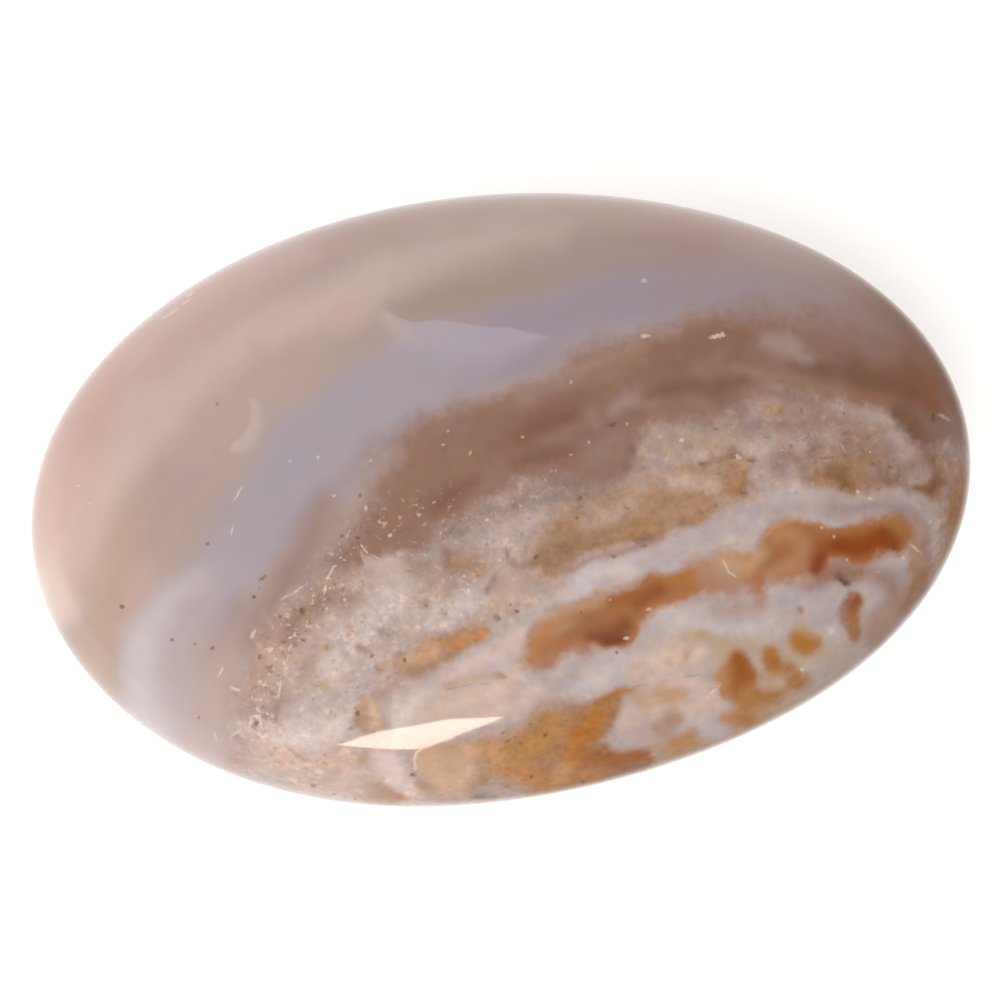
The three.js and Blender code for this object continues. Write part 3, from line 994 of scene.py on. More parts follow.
CHALK = Layer("chalk", Tint.CHALK, patches=(
    Patch("white band and field", (
        (540, 608, 12), (556, 596, 12), (572, 582, 9), (586, 566, 6), (610, 559, 6), (636, 552, 5),
        (660, 543, 6), (682, 534, 6), (702, 528, 6), (722, 515, 8), (745, 504, 6), (760, 494, 5),
        (782, 489, 6), (796, 478, 8), (806, 488, 6), (822, 494, 6), (842, 499, 5), (868, 497, 5),
        (893, 490, 8), (906, 496, 6), (921, 508, 5), (930, 524, 6), (938, 556, 8), (940, 600, 12),
        (925, 640, 16), (880, 700, 18), (800, 760, 21), (700, 790, 18), (660, 778, 10), (656, 756, 6),
        (640, 747, 5), (612, 746, 5), (618, 722, 5), (624, 700, 5), (640, 690, 5), (616, 688, 6),
        (600, 693, 6), (570, 697, 9), (540, 706, 12), (520, 722, 12), (490, 724, 12), (440, 735, 12),
        (400, 740, 12), (386, 730, 10), (388, 704, 12), (410, 686, 12), (440, 674, 10), (462, 658, 8),
        (484, 644, 8), (500, 632, 9), (512, 618, 10))),
    Patch("low white", ((374, 752, 6), (396, 748, 6), (404, 764, 8), (394, 780, 8), (376, 772, 8))),
), drifts=(
    Drift("low white", (Tint.LOW_PINK,), 10, 1.0, ((386, 756, 12), (396, 772, 12))),
    Drift("band, left", (Tint.CHALK_WHITE,), 9, 0.85, ((566, 592, 7), (600, 576, 9), (640, 564, 9))),
    Drift("band, middle", (Tint.CHALK_COOL,), 9, 0.85, (
        (640, 564, 9), (690, 548, 9), (740, 524, 12), (790, 498, 10))),
    Drift("band, straw foot", (Tint.CHALK_CREAM,), 9, 0.85, (
        (690, 556, 3), (736, 541, 7), (758, 534, 7), (764, 520, 4))),
    Drift("band, lilac dip", (Tint.CHALK_MAUVE,), 7, 0.6, ((712, 524, 4), (742, 508, 4), (830, 510, 5))),
    Drift("band, right", (Tint.CHALK_LILAC,), 10, 0.95, ((836, 506, 9), (880, 506, 9), (918, 514, 9))),
    Drift("band, right end", (Tint.RIM_MAUVE,), 12, 0.95, ((928, 530, 9), (930, 560, 12), (922, 590, 12))),
    Drift("field, bright middle", (Tint.CHALK_WHITE,), 14, 0.8, (
        (672, 620, 10), (720, 628, 8), (770, 628, 9))),
    Drift("field, bright left", (Tint.CHALK_WHITE,), 10, 0.85, (
        (570, 684, 7), (592, 680, 10), (620, 664, 7))),
    Drift("field, upper right", (Tint.CHALK_COOL,), 10, 0.8, (
        (780, 600, 8), (815, 600, 10), (826, 618, 9))),
    Drift("field, grey rim", (Tint.RIM_GREY,), 14, 0.95, ((806, 696, 10), (836, 668, 14), (864, 640, 12))),
    Drift("field, mauve right", (Tint.RIM_MAUVE,), 12, 0.95, (
        (872, 574, 9), (890, 580, 12), (898, 600, 12), (878, 632, 12))),
    Drift("field, lilac", (Tint.CHALK_MAUVE,), 7, 0.8, ((862, 582, 6), (850, 590, 4))),
    Drift("field, rose under amber", (Tint.MAUVE_ROSE,), 7, 0.85, (
        (806, 588, 4), (838, 570, 8), (858, 573, 6))),
    Drift("field, pink beige", (Tint.CHALK_BEIGE,), 12, 0.9, ((720, 612, 8), (750, 606, 8))),
    Drift("field, peach", (Tint.CHALK_PEACH,), 14, 0.9, ((636, 672, 9), (672, 662, 14), (700, 652, 12))),
    Drift("field, orange cloud", (Tint.CHALK_ORANGE,), 9, 0.9, (
        (632, 694, 5), (642, 702, 7), (668, 696, 11), (682, 688, 7))),
    Drift("field, pink", (Tint.CHALK_PINK,), 10, 0.9, ((654, 684, 4), (690, 682, 6), (704, 694, 10))),
    Drift("field, pink left", (Tint.CHALK_PINK,), 12, 0.8, ((470, 664, 8), (452, 676, 8), (520, 640, 6))),
    Drift("field, white left", (Tint.LOW_WHITE,), 11, 0.9, ((394, 706, 8), (400, 724, 11), (420, 694, 6))),
    Drift("field, peach left", (Tint.CHALK_PEACH,), 14, 0.95, (
        (426, 716, 8), (470, 700, 10), (500, 690, 9), (520, 672, 6))),
    Drift("field, pink middle", (Tint.CHALK_PEACH, Tint.CHALK_PINK), 12, 0.85, (
        (482, 715, 8), (512, 710, 8), (540, 690, 6))),
    Drift("field, grey middle", (Tint.CHALK_MAUVE,), 9, 0.7, ((545, 676, 6), (560, 690, 5), (580, 662, 4))),
    Drift("field, lower pink", (Tint.CHALK_PEACH, Tint.CHALK_BLUSH), 12, 0.9, (
        (624, 716, 8), (640, 734, 8))),
    Drift("field, lower peach", (Tint.CHALK_PEACH,), 14, 0.9, (
        (648, 706, 8), (690, 712, 12), (712, 706, 8))),
    Drift("field, lower brown", (Tint.CHALK_BROWN,), 10, 0.8, ((668, 716, 8), (664, 740, 5))),
    Drift("honey haze", (Tint.HONEY_VEIL,), 12, 0.75, (
        (726, 652, 8), (752, 684, 14), (784, 690, 12), (744, 712, 12))),
    Drift("straw haze", (Tint.STRAW_VEIL,), 12, 0.8, (
        (722, 648, 8), (760, 650, 8), (800, 658, 10), (824, 650, 6))),
    Drift("low haze", (Tint.RIM_STRAW, Tint.RIM_STRAW, Tint.STRAW_VEIL), 14, 0.85, (
        (656, 754, 10), (710, 746, 9), (760, 722, 10), (800, 702, 6))),
    Drift("white over the low haze", (Tint.CHALK_WHITE,), 10, 0.8, ((704, 728, 7), (722, 734, 7))),
))
AMBER = Layer("amber", Tint.AMBER, patches=(
    Patch("large lens", (
        (521, 662, 6), (527, 646, 6), (538, 631, 7), (548, 614, 7), (568, 604, 7), (596, 595, 7),
        (620, 590, 6), (634, 584, 6), (644, 574, 6), (662, 570, 6), (690, 563, 7), (712, 556, 8),
        (736, 552, 8), (756, 552, 7), (764, 540, 7), (768, 524, 7), (784, 520, 6), (806, 524, 4),
        (840, 525, 4), (862, 521, 6), (882, 516, 6), (902, 514, 7), (914, 522, 8), (918, 538, 7),
        (908, 552, 6), (896, 556, 6), (880, 553, 6), (873, 564, 4), (860, 571, 4), (845, 565, 6),
        (834, 565, 6), (828, 573, 6), (814, 580, 6), (796, 584, 7), (772, 586, 8), (766, 598, 7),
        (760, 604, 7), (750, 598, 8), (738, 592, 8), (716, 595, 7), (690, 598, 6), (670, 605, 6),
        (658, 610, 4), (647, 622, 4), (640, 637, 4), (630, 646, 4), (608, 648, 4), (592, 651, 6),
        (585, 655, 6), (576, 650, 6), (562, 656, 6), (552, 667, 6), (538, 671, 6), (526, 670, 6))),
    Patch("tan tail", ((908, 552, 7), (920, 540, 8), (928, 556, 10), (924, 578, 10), (912, 574, 8))),
), drifts=(
    Drift("left end, orange", (Tint.AMBER_BRIGHT,), 9, 0.95, ((532, 656, 7), (540, 640, 9), (558, 624, 9))),
    Drift("left end, tan top", (Tint.AMBER_TAN,), 8, 0.85, ((546, 616, 6), (572, 608, 7), (600, 601, 5))),
    Drift("left end, tan spot", (Tint.AMBER_TAN,), 9, 0.7, ((560, 632, 6), (576, 626, 5))),
    Drift("left end, foot", (Tint.AMBER_ROSE,), 6, 0.7, ((540, 664, 5), (556, 656, 4))),
    Drift("middle, brown", (Tint.AMBER_EARTH,), 9, 0.8, ((570, 640, 7), (590, 622, 8))),
    Drift("dark heart", (Tint.AMBER_BROWN,), 9, 0.95, ((592, 640, 6), (610, 634, 9), (626, 624, 8))),
    Drift("dark foot", (Tint.AMBER_BLACK,), 5, 0.9, ((606, 641, 4), (624, 639, 4))),
    Drift("orange top", (Tint.AMBER_RUSSET,), 8, 0.9, ((612, 604, 6), (636, 598, 7), (660, 586, 7))),
    Drift("russet climb", (Tint.RUST_SOFT,), 6, 0.8, ((640, 606, 5), (656, 590, 6))),
    Drift("middle, orange", (Tint.AMBER_ORANGE,), 7, 0.8, ((668, 576, 5), (690, 578, 7), (684, 590, 5))),
    Drift("middle, tan", (Tint.AMBER_TAN,), 12, 1.0, ((704, 572, 10), (730, 574, 14))),
    Drift("middle, rose foot", (Tint.AMBER_ROSE,), 8, 0.85, ((706, 590, 6), (752, 590, 8), (760, 600, 4))),
    Drift("middle, straw top", (Tint.HONEY_CREAM,), 12, 0.75, (
        (722, 560, 6), (748, 566, 8), (764, 552, 5))),
    Drift("step, clay", (Tint.AMBER_CLAY,), 9, 0.9, ((772, 574, 7), (796, 566, 9), (804, 548, 6))),
    Drift("step, orange", (Tint.AMBER_PALE,), 8, 0.9, ((780, 536, 6), (795, 540, 7))),
    Drift("step, honey edge", (Tint.HONEY,), 5, 0.7, ((772, 530, 3), (790, 524, 2))),
    Drift("rust heart", (Tint.RUST,), 8, 0.95, (
        (818, 562, 7), (824, 546, 9), (846, 543, 12), (872, 536, 10), (892, 540, 10))),
    Drift("rust heart, deep", (Tint.RUST_DEEP,), 7, 0.95, (
        (838, 548, 9), (860, 550, 10), (884, 538, 10), (898, 548, 7))),
    Drift("rust foot", (Tint.RUST_RED,), 6, 0.85, ((816, 571, 6), (823, 558, 5))),
    Drift("orange brow", (Tint.AMBER_ORANGE,), 6, 0.7, ((846, 529, 3), (866, 527, 4))),
    Drift("ochre end", (Tint.OCHRE_DEEP,), 7, 0.9, ((886, 520, 3), (904, 526, 7), (908, 538, 5))),
    Drift("tail tan", (Tint.OCHRE_TAN,), 8, 0.9, ((910, 550, 6), (920, 562, 8))),
))
SPOTS = (
    Drift("rust eye, halo", (Tint.EYE_TAN,), 12, 0.95, ((724, 674, 10), (736, 684, 15), (748, 700, 12))),
    Drift("rust eye", (Tint.RUST_EYE,), 9, 1.0, ((738, 662, 9), (738, 678, 14), (730, 690, 9))),
    Drift("rust eye, left", (Tint.EYE_TAN,), 8, 0.8, ((720, 680, 5), (722, 692, 5))),
    Drift("rust eye, foot", (Tint.EYE_OCHRE,), 10, 0.8, ((742, 698, 8), (752, 700, 7))),
    Drift("honey eye, halo", (Tint.STRAW_VEIL,), 8, 0.85, ((806, 642, 14), (822, 654, 6))),
    Drift("honey eye, top", (Tint.STRAW_VEIL,), 9, 0.6, ((804, 626, 9), (802, 634, 10))),
    Drift("honey eye", (Tint.HONEY_EYE,), 8, 1.0, ((803, 641, 11), (808, 644, 11))),
    Drift("small brown, halo", (Tint.EYE_TAN,), 8, 0.85, ((769, 658, 10), (773, 672, 8))),
    Drift("small brown", (Tint.HONEY_BROWN,), 9, 0.95, ((768, 660, 8), (772, 664, 7))),
    Drift("brown pair", (Tint.EYE_OCHRE,), 10, 0.9, ((790, 669, 8), (798, 682, 11))),
    Drift("brown between", (Tint.EYE_OCHRE,), 10, 0.8, ((766, 702, 9), (778, 695, 7))),
    Drift("low ochre", (Tint.EYE_TAN, Tint.EYE_OCHRE, Tint.EYE_TAN), 8, 0.85, (
        (726, 718, 8), (744, 717, 9), (758, 718, 6))),
    Drift("low ochre, left", (Tint.EYE_TAN,), 9, 0.9, ((677, 743, 8), (692, 738, 8))),
    Drift("dusky spot", (Tint.OCHRE_ROSE,), 7, 0.75, ((658, 726, 8), (674, 720, 7))),
    Drift("upright, halo", (Tint.RIM_CLAY,), 8, 0.9, ((856, 602, 8), (848, 612, 8), (853, 632, 9))),
    Drift("rust upright", (Tint.RUST_DEEP, Tint.HONEY_BROWN), 8, 1.0, ((855, 603, 8), (853, 619, 7))),
    Drift("pale gap by the eyes", (Tint.CHALK_PEACH,), 7, 0.5, ((764, 684, 5), (778, 682, 4))),
    Drift("pale gap, low", (Tint.STRAW_VEIL,), 6, 0.6, ((760, 714, 3), (776, 708, 3))),
    Drift("upright, dusky side", (Tint.MAUVE_ROSE,), 7, 0.7, ((841, 604, 4), (842, 622, 4))),
    Drift("brown right", (Tint.CHALK_BROWN, Tint.OCHRE_ROSE), 12, 0.95, (
        (894, 606, 8), (886, 624, 10), (878, 638, 7))),
    Drift("rim tan", (Tint.RIM_CLAY,), 9, 0.8, ((906, 606, 7), (922, 580, 8))),
    Drift("peach by the dots", (Tint.CHALK_ORANGE,), 10, 0.8, ((662, 690, 8), (680, 694, 8))),
    Drift("straw by the eyes", (Tint.STRAW_VEIL,), 9, 0.8, ((690, 640, 7), (708, 634, 6), (724, 645, 6))),
    Drift("olive dots", (Tint.STRAW_DEEP,), 6, 0.7, ((687, 655, 5),)),
    Drift("olive dot, low", (Tint.STRAW_DEEP,), 6, 0.6, ((668, 664, 4),)),
    Drift("olive dot, right", (Tint.STRAW_DEEP,), 4, 0.5, ((703, 632, 4),)),
    Drift("olive crumb", (Tint.OLIVE,), 4, 0.8, ((804, 612, 4),)),
    Drift("brown under amber", (Tint.OCHRE_BROWN,), 9, 0.75, ((828, 574, 6), (846, 578, 7), (862, 573, 5))),
    Drift("dark crumb under amber", (Tint.CRUMB,), 4, 0.85, ((838, 578, 3), (846, 584, 3))),
    Drift("orange spot", (Tint.OCHRE_TAN,), 6, 0.85, ((427, 605, 6),)),
    Drift("ochre fleck", (Tint.OCHRE_BROWN,), 4, 0.8, ((496, 616, 4),)),
    Drift("ochre flecks", (Tint.OCHRE_TAN,), 5, 0.7, ((508, 606, 4), (514, 612, 4), (520, 600, 3))),
    Drift("olive flecks", (Tint.OLIVE,), 5, 0.7, ((380, 630, 4),)),
    Drift("olive flecks, low", (Tint.OLIVE,), 5, 0.65, ((358, 648, 4), (366, 652, 4))),
    Drift("tan fleck low", (Tint.OLIVE,), 4, 0.7, ((498, 676, 4), (504, 679, 3))),
    Drift("tan streak low", (Tint.CHALK_ORANGE, Tint.STRAW_VEIL), 8, 0.75, (
        (440, 688, 3), (468, 683, 5), (494, 678, 5))),
    Drift("brown veil", (Tint.OCHRE_ROSE,), 8, 0.6, ((376, 700, 4), (392, 686, 6), (406, 674, 4))),
    Drift("straw smudge", (Tint.STRAW_DEEP,), 6, 0.75, ((364, 758, 7),)),
    Drift("ochre smudge", (Tint.STRAW_DEEP,), 5, 0.7, ((336, 776, 5),)),
    Drift("rust smudge", (Tint.AMBER_TAN, Tint.AMBER_RED), 8, 0.8, (
        (368, 786, 5), (384, 790, 6), (396, 796, 5))),
    Drift("foot tan", (Tint.OCHRE_TAN,), 7, 0.6, ((418, 784, 5), (432, 792, 6))),
    Drift("bottom brown", (Tint.OLIVE_DARK,), 7, 0.65, ((474, 797, 4), (494, 796, 4))),
    Drift("bottom brown, left", (Tint.OLIVE_DARK,), 6, 0.45, ((456, 800, 3),)),
    Drift("tan haze at sugar", (Tint.SUGAR_TAN,), 9, 0.7, ((522, 582, 9), (500, 592, 7), (512, 570, 6))),
    Drift("dark crumbs", (Tint.SUGAR_BROWN,), 5, 0.7, ((496, 580, 3), (488, 592, 4))),
    Drift("olive post", (Tint.SUGAR_TAN_DEEP,), 6, 0.7, ((449, 586, 5), (447, 596, 4))),
    Drift("brown crook", (Tint.SUGAR_BROWN,), 5, 0.8, ((504, 548, 2), (508, 556, 3), (514, 563, 3))),
    Drift("brown crook, foot", (Tint.OCHRE_BROWN,), 5, 0.8, ((520, 566, 3), (534, 562, 4), (542, 556, 4))),
    Drift("orange by grey", (Tint.OCHRE_ORANGE,), 6, 0.6, ((710, 460, 5), (722, 458, 5))),
    Drift("dark brow", (Tint.OCHRE_DARK,), 4, 0.5, ((702, 464, 3), (734, 459, 3), (751, 462, 3))),
    Drift("white shoulder", (Tint.CHALK_WHITE,), 5, 0.8, ((832, 632, 5), (826, 626, 4))),
    Drift("mauve by ochre", (Tint.MAUVE_ROSE,), 6, 0.7, ((576, 562, 4), (572, 570, 4), (664, 538, 4))),
)
COARSE_GRAIN = (
    Drift("coarse left", (Tint.GLITTER,), 18, 1.0, (
        (260, 740, 12), (266, 690, 16), (288, 636, 18), (324, 592, 18), (350, 572, 12))),
    Drift("coarse brown", (Tint.GLITTER,), 16, 0.7, (
        (325, 570, 10), (360, 530, 14), (400, 515, 16), (450, 500, 10))),
    Drift("coarse grey", (Tint.GLITTER,), 20, 0.6, ((420, 545, 14), (480, 520, 14), (560, 480, 12))),
    Drift("coarse low", (Tint.GLITTER,), 18, 0.8, ((262, 740, 16), (300, 765, 14))),
    Drift("coarse field", (Tint.GLITTER,), 30, 0.5, ((350, 660, 30), (420, 600, 30), (520, 560, 20))),
    Drift("coarse right", (Tint.GLITTER,), 22, 0.35, ((700, 460, 14), (780, 450, 16), (860, 450, 14))),
)
VEIL = Layer("veil", Tint.LILAC_LIGHT, patches=(
    Patch("wedge", (
        (384, 309, 2), (400, 314, 1.4), (415, 322, 1.2), (432, 322, 1.2), (455, 322, 1.2), (480, 324, 1.2),
        (505, 328, 1.4), (525, 335, 1.8), (548, 341, 3), (520, 352, 14), (480, 362, 22), (440, 364, 22),
        (405, 350, 20), (388, 330, 18))),
    Patch("chip", (
        (357, 541, 1.2), (367, 554, 1.2), (384, 561, 1.2), (394, 558, 3), (408, 566, 8), (400, 580, 9),
        (384, 580, 8), (372, 570, 4), (362, 556, 1.5))),
    Patch("lens", (
        (428, 744, 2), (419, 749, 1.3), (414, 758, 1.3), (414, 770, 1.3), (419, 776, 4), (436, 786, 16),
        (470, 776, 22), (468, 752, 18), (446, 745, 9))),
    Patch("comma", (
        (247, 402, 2), (251, 409, 1.2), (250, 421, 1.2), (243, 433, 1.2), (231, 443, 1.5), (230, 449, 3),
        (245, 449, 4), (257, 440, 6), (264, 425, 7), (262, 409, 4), (255, 402, 3))),
), drifts=(
    Drift("wedge, shell end", (Tint.SHELL_GREY,), 14, 1.0, ((384, 318, 10), (400, 332, 8))),
    Drift("chip", (Tint.CHIP,), 10, 1.0, ((370, 556, 24), (396, 570, 24))),
    Drift("lens", (Tint.PEACH_LENS,), 10, 1.0, ((420, 760, 30), (455, 765, 40))),
    Drift("comma", (Tint.SHELL_GREY,), 20, 1.0, ((250, 405, 20), (240, 445, 20))),
))
DARK_MARKS = marks(
    (791, 446, 1.8, 1.5, 0, 0.6), (827, 458, 5, 1.3, 5, 0.6), (874, 464, 3.4, 1.3, -10, 0.6),
    (890, 467, 3, 1.6, -25, 0.6), (733, 458, 3, 1.6, 10, 0.6), (702, 464, 3, 1.4, 10, 0.55),
    (750, 461, 3.4, 1.5, 0, 0.6), (719, 474, 2.2, 1.4, 0, 0.5), (743, 493, 3.2, 1.5, 0, 0.5),
    (627, 508, 3, 2, 0, 0.5), (716, 506, 2, 1.8, 0, 0.5), (644, 546, 4, 1.8, 10, 0.5),
    (840, 403, 1.8, 1.6, 0, 0.6), (716, 429, 2.2, 1.4, 10, 0.5), (796, 493, 2, 1.4, 20, 0.4),
    # The mark at (256, 724) is painted shade inside the small pit.
    (256, 724, 2.2, 3, 0, 0.7), (508, 741, 3, 1.6, 20, 0.6), (516, 737, 2, 1.6, 0, 0.6),
    (521, 743, 2.4, 1.4, 10, 0.5), (503, 733, 1.8, 1.4, 0, 0.5), (530, 724, 1.6, 1.6, 0, 0.5),
    (217, 404, 1.6, 1.6, 0, 0.6), (208, 544, 1.6, 1.6, 0, 0.9), (122, 607, 2, 2, 0, 1),
    (263, 578, 3.9, 1.7, 35, 0.8), (254, 597, 2, 1.6, 0, 1), (172, 640, 1.9, 1.6, 20, 0.8),
    (195, 644, 1.2, 1.2, 0, 0.8), (212, 648, 2.2, 1.7, 30, 0.8), (199, 718, 1.4, 1.4, 0, 0.7),
    (342, 536, 1.6, 1.6, 0, 0.9), (358, 538, 1.9, 1.7, 0, 1), (360, 496, 1.7, 1.7, 0, 0.8),
    (260, 657, 1.9, 2.7, 0, 0.8), (545, 735, 2, 2, 0, 1), (531, 777, 1.6, 1.6, 0, 0.9),
    (583, 782, 2.3, 1.4, 0, 0.9), (581, 613, 1.4, 1.4, 0, 0.7), (617, 652, 1.6, 1.9, 0, 0.9),
    (612, 425, 3.9, 1.9, 10, 1), (517, 611, 2, 1.9, 30, 0.9), (405, 660, 2, 2, 0, 1),
    (413, 775, 2.7, 2.2, 0, 1), (313, 786, 3.1, 1.9, -20, 0.8), (334, 794, 1.9, 1.2, 0, 0.7),
    (355, 799, 2, 1.2, 0, 0.8), (933, 418, 2, 3.9, 0, 0.9), (844, 582, 4.7, 2.3, -30, 1),
    (358, 713, 2, 2, 0, 1), (427, 606, 2, 1.6, 0, 0.7), (536, 557, 2.3, 1.7, 20, 0.9),
    (614, 557, 3.1, 1.4, 0, 0.7), (487, 544, 1.9, 1.9, 0, 0.5), (580, 498, 2.3, 2.3, 0, 0.8),
    (577, 518, 2, 1.7, 40, 0.8), (640, 686, 8, 0.9, 8, 0.3), (664, 681, 7, 0.9, 8, 0.25),
    (692, 676, 8, 0.9, 6, 0.3), (450, 689, 7, 0.9, 12, 0.35), (468, 685, 6, 0.8, 10, 0.3),
    # The long marks at (362, 547) and (376, 558) are the painted shadow along the crack by the chip.
    (485, 684, 6, 0.8, 4, 0.3), (362, 547, 9, 1.4, -50, 0.7), (376, 558, 8, 1.3, -25, 0.6),
    (511, 605, 1.6, 1.6, 0, 0.7), (372, 656, 2, 2, 0, 0.8), (303, 640, 2.3, 1.6, 0, 0.8),
    (280, 617, 2, 1.6, 0, 0.8), (302, 611, 2.3, 2.7, 0, 0.9),
)
PALE_MARKS = marks(
    (843, 448, 4.5, 1, -60, 0.5), (739, 458, 3.2, 1.8, 10, 0.7), (870, 452, 1.2, 1.2, 0, 0.6),
    (238, 494, 7, 0.9, 60, 0.9), (232, 531, 5, 0.9, 80, 0.8), (318, 457, 1.6, 1.6, 0, 0.8),
    (290, 461, 1.6, 1.3, 0, 0.7), (334, 496, 1.6, 1.3, 0, 0.8), (78, 486, 1.6, 1.1, 0, 0.7),
    (89, 503, 1.4, 1.1, 0, 0.6), (366, 508, 1.6, 3.2, 0, 0.7), (371, 461, 1.4, 1.4, 0, 0.6),
    (419, 515, 1.6, 1.6, 0, 0.7), (390, 535, 1.9, 1.6, 0, 0.8), (443, 445, 2, 1.2, 10, 0.6),
    (448, 431, 1.5, 1.4, 0, 0.6), (470, 453, 1.3, 2.2, -20, 0.6), (523, 437, 1.5, 1.3, 0, 0.6),
    (571, 382, 1.4, 1.6, 0, 0.6), (589, 442, 1.4, 1.6, 0, 0.6), (682, 440, 2.2, 2, 0, 0.9),
    (645, 336, 4, 2.1, -10, 0.9), (718, 336, 7, 2.2, 10, 1), (644, 281, 2.7, 2.2, 0, 0.7),
    (903, 558, 1.6, 1.6, 0, 0.9), (915, 548, 7, 1.2, -40, 0.8), (858, 492, 1.9, 1.8, 0, 1),
    (870, 499, 3.2, 1.1, -20, 0.8), (627, 638, 3.2, 1.8, 10, 1), (649, 609, 2.7, 1.4, 10, 0.8),
    (802, 669, 2.1, 1.8, 0, 1), (831, 631, 3.5, 3.2, 0, 0.8), (713, 692, 8, 1.4, 45, 0.9),
    (944, 417, 6, 1.6, -30, 0.6), (319, 771, 4, 2.7, -5, 0.9), (293, 780, 4.8, 1.8, -20, 0.9),
    (389, 780, 3.2, 2.4, -20, 0.9), (221, 671, 4.4, 1.2, 65, 0.9), (235, 689, 5, 1.2, -25, 0.9),
    (260, 682, 1.8, 1.6, 0, 0.8), (215, 736, 5, 1.2, -70, 0.6), (258, 710, 3.2, 1.1, -50, 0.9),
    # The three marks from (420, 750) to (415, 766) draw the bright line of an internal fracture: the
    # fracture is real, its brightness is a painted reflection.
    (236, 733, 7, 1.6, 35, 0.7), (262, 738, 6, 1.6, -60, 0.7), (420, 750, 4, 1.4, 40, 0.8),
    (415.5, 756, 5, 1.4, 68, 0.9), (415, 766, 6, 1.4, 92, 0.8), (726, 566, 6, 1.2, -62, 0.7),
    # The three marks from (170, 314) to (190, 294) are a painted highlight: pale streaks on the upper left
    # rim, a reflection drawn as scuffs.
    (732, 574, 6, 1.2, -40, 0.7), (170, 314, 9, 1.4, 34, 0.7), (186, 302, 6, 1.2, 36, 0.6),
    # The three marks from (251, 722) to (261, 722) are the painted highlight round the rim of the small
    # pit.
    (190, 294, 4, 1.4, 35, 0.7), (251, 722, 5, 1.6, 76, 1), (256, 716.5, 4.5, 1.6, 0, 1),
    (261, 722, 5, 1.5, -80, 1), (364, 549, 8, 1.2, -52, 0.8), (377, 558, 6, 1.2, -30, 0.7),
    (330, 574, 8, 1.2, 60, 0.8), (325, 590, 3.2, 1.3, 80, 0.8), (298, 590, 8, 1, 35, 0.7),
    (284, 598, 5, 1, 30, 0.6), (270, 650, 3.2, 2.4, 0, 0.9), (290, 648, 3.2, 1.6, 70, 0.8),
    (345, 600, 2.4, 1.6, 70, 0.7), (287, 668, 2.4, 1.6, 0, 0.8), (280, 688, 8, 1.2, 80, 0.8),
    (260, 700, 1.9, 1.9, 0, 0.7), (253, 634, 5, 1.4, 60, 0.8), (468, 592, 3.2, 2.9, 0, 0.9),
    (464, 576, 1.9, 1.9, 0, 0.7), (372, 633, 2.4, 1.9, 0, 0.8), (418, 627, 2.4, 1.9, 0, 0.8),
    (402, 716, 1.3, 4.8, 0, 0.7), (500, 560, 1.6, 1.6, 0, 0.7), (487, 520, 1.6, 1.6, 0, 0.7),
    (627, 424, 1.4, 1.4, 0, 0.5), (571, 455, 1.9, 1.3, 0, 0.5), (610, 600, 1.3, 1.3, 0, 0.5),
    (834, 537, 1.6, 1.6, 0, 0.7), (822, 528, 1.6, 1.6, 0, 0.6), (847, 560, 1.6, 1.6, 0, 0.7),
    (878, 572, 1.6, 1.6, 0, 0.5), (737, 456, 1.6, 1.6, 0, 0.8), (660, 437, 1.9, 1.4, 0, 0.5),
)


# ---- the polished finish


class Grains:
    """The noises that the minerals share, from broad clouds down to single grains.

    Each noise has three channels: one for ragged edges, one for light and one for warmth.
    """

    EDGE, LIGHT, WARMTH = range(3)

    def __init__(self, graph: Graph) -> None:
        """Reads the place in millimetres and adds the noises to the material's nodes."""
        place = graph.out(graph.node("ShaderNodeTexCoord"), "Object")
        self.place = graph.lit(place, 1.0 / MM)
        self.cloud = graph.noise(self.place, scale=0.2, detail=2.0)
        self.mottle = graph.noise(self.place, scale=0.62, detail=3.0, rough=0.55)
        self.blotch = graph.noise(self.place, scale=1.1, detail=2.0)
        self.speck = graph.noise(self.place, scale=1.9, detail=2.0, rough=0.55)
        self.grain = graph.noise(self.place, scale=3.4, detail=2.0, rough=0.6)

    def blend(self, channel: int, shares: tuple[float, ...]) -> Wire:
        """Adds up one channel of the mottle, blotch, speck and grain, each by its share."""
        noises = (self.mottle, self.blotch, self.speck, self.grain)
        parts = [noise[channel] * share for noise, share in zip(noises, shares) if share]
        return sum(parts[1:], start=parts[0])


@dataclass(frozen=True)
class Crumbs:
    """Small clouds in a mineral, where a blend of its noises runs high.

    The shares of the warmth and edge channels add up to a height. The crumbs show where it
    is past the rise, and they change the mineral's light and warmth there.
    """

    warm_shares: tuple[float, ...]
    edge_shares: tuple[float, ...]
    rise: tuple[float, float]
    light: float
    warmth: float

    def cover(self, graph: Graph, grains: Grains) -> Wire:
        """Returns how far the crumbs cover the mineral."""
        height = grains.blend(grains.WARMTH, self.warm_shares)
        height = height + grains.blend(grains.EDGE, self.edge_shares)
        return graph.eased(height, *self.rise)


@dataclass(frozen=True)
class Grading:
    """How strongly the mottle, blotch, speck and grain vary one mineral.

    The edge wanders by the ragged width and is broken up by the frayed one, in widths of
    its own softness. The rim is how much lighter the mineral is towards its edge.
    """

    name: str
    light: tuple[float, ...]
    warmth: tuple[float, ...]
    ragged: float = 1.2
    frayed: float = 0.5
    rim: float = 0.0
    crumbs: tuple[Crumbs, ...] = ()


RUST = Crumbs((1.0,), (0.0, 0.4), rise=(0.18, 0.5), light=-0.07, warmth=0.26)
FROST = Crumbs((0.0, 1.0), (0.0, 0.0, 0.4), rise=(0.14, 0.4), light=0.19, warmth=0.0)
FLECK = Crumbs((0.0, 0.0, 0.8), (0.0, 0.6), rise=(0.28, 0.5), light=-0.26, warmth=0.1)


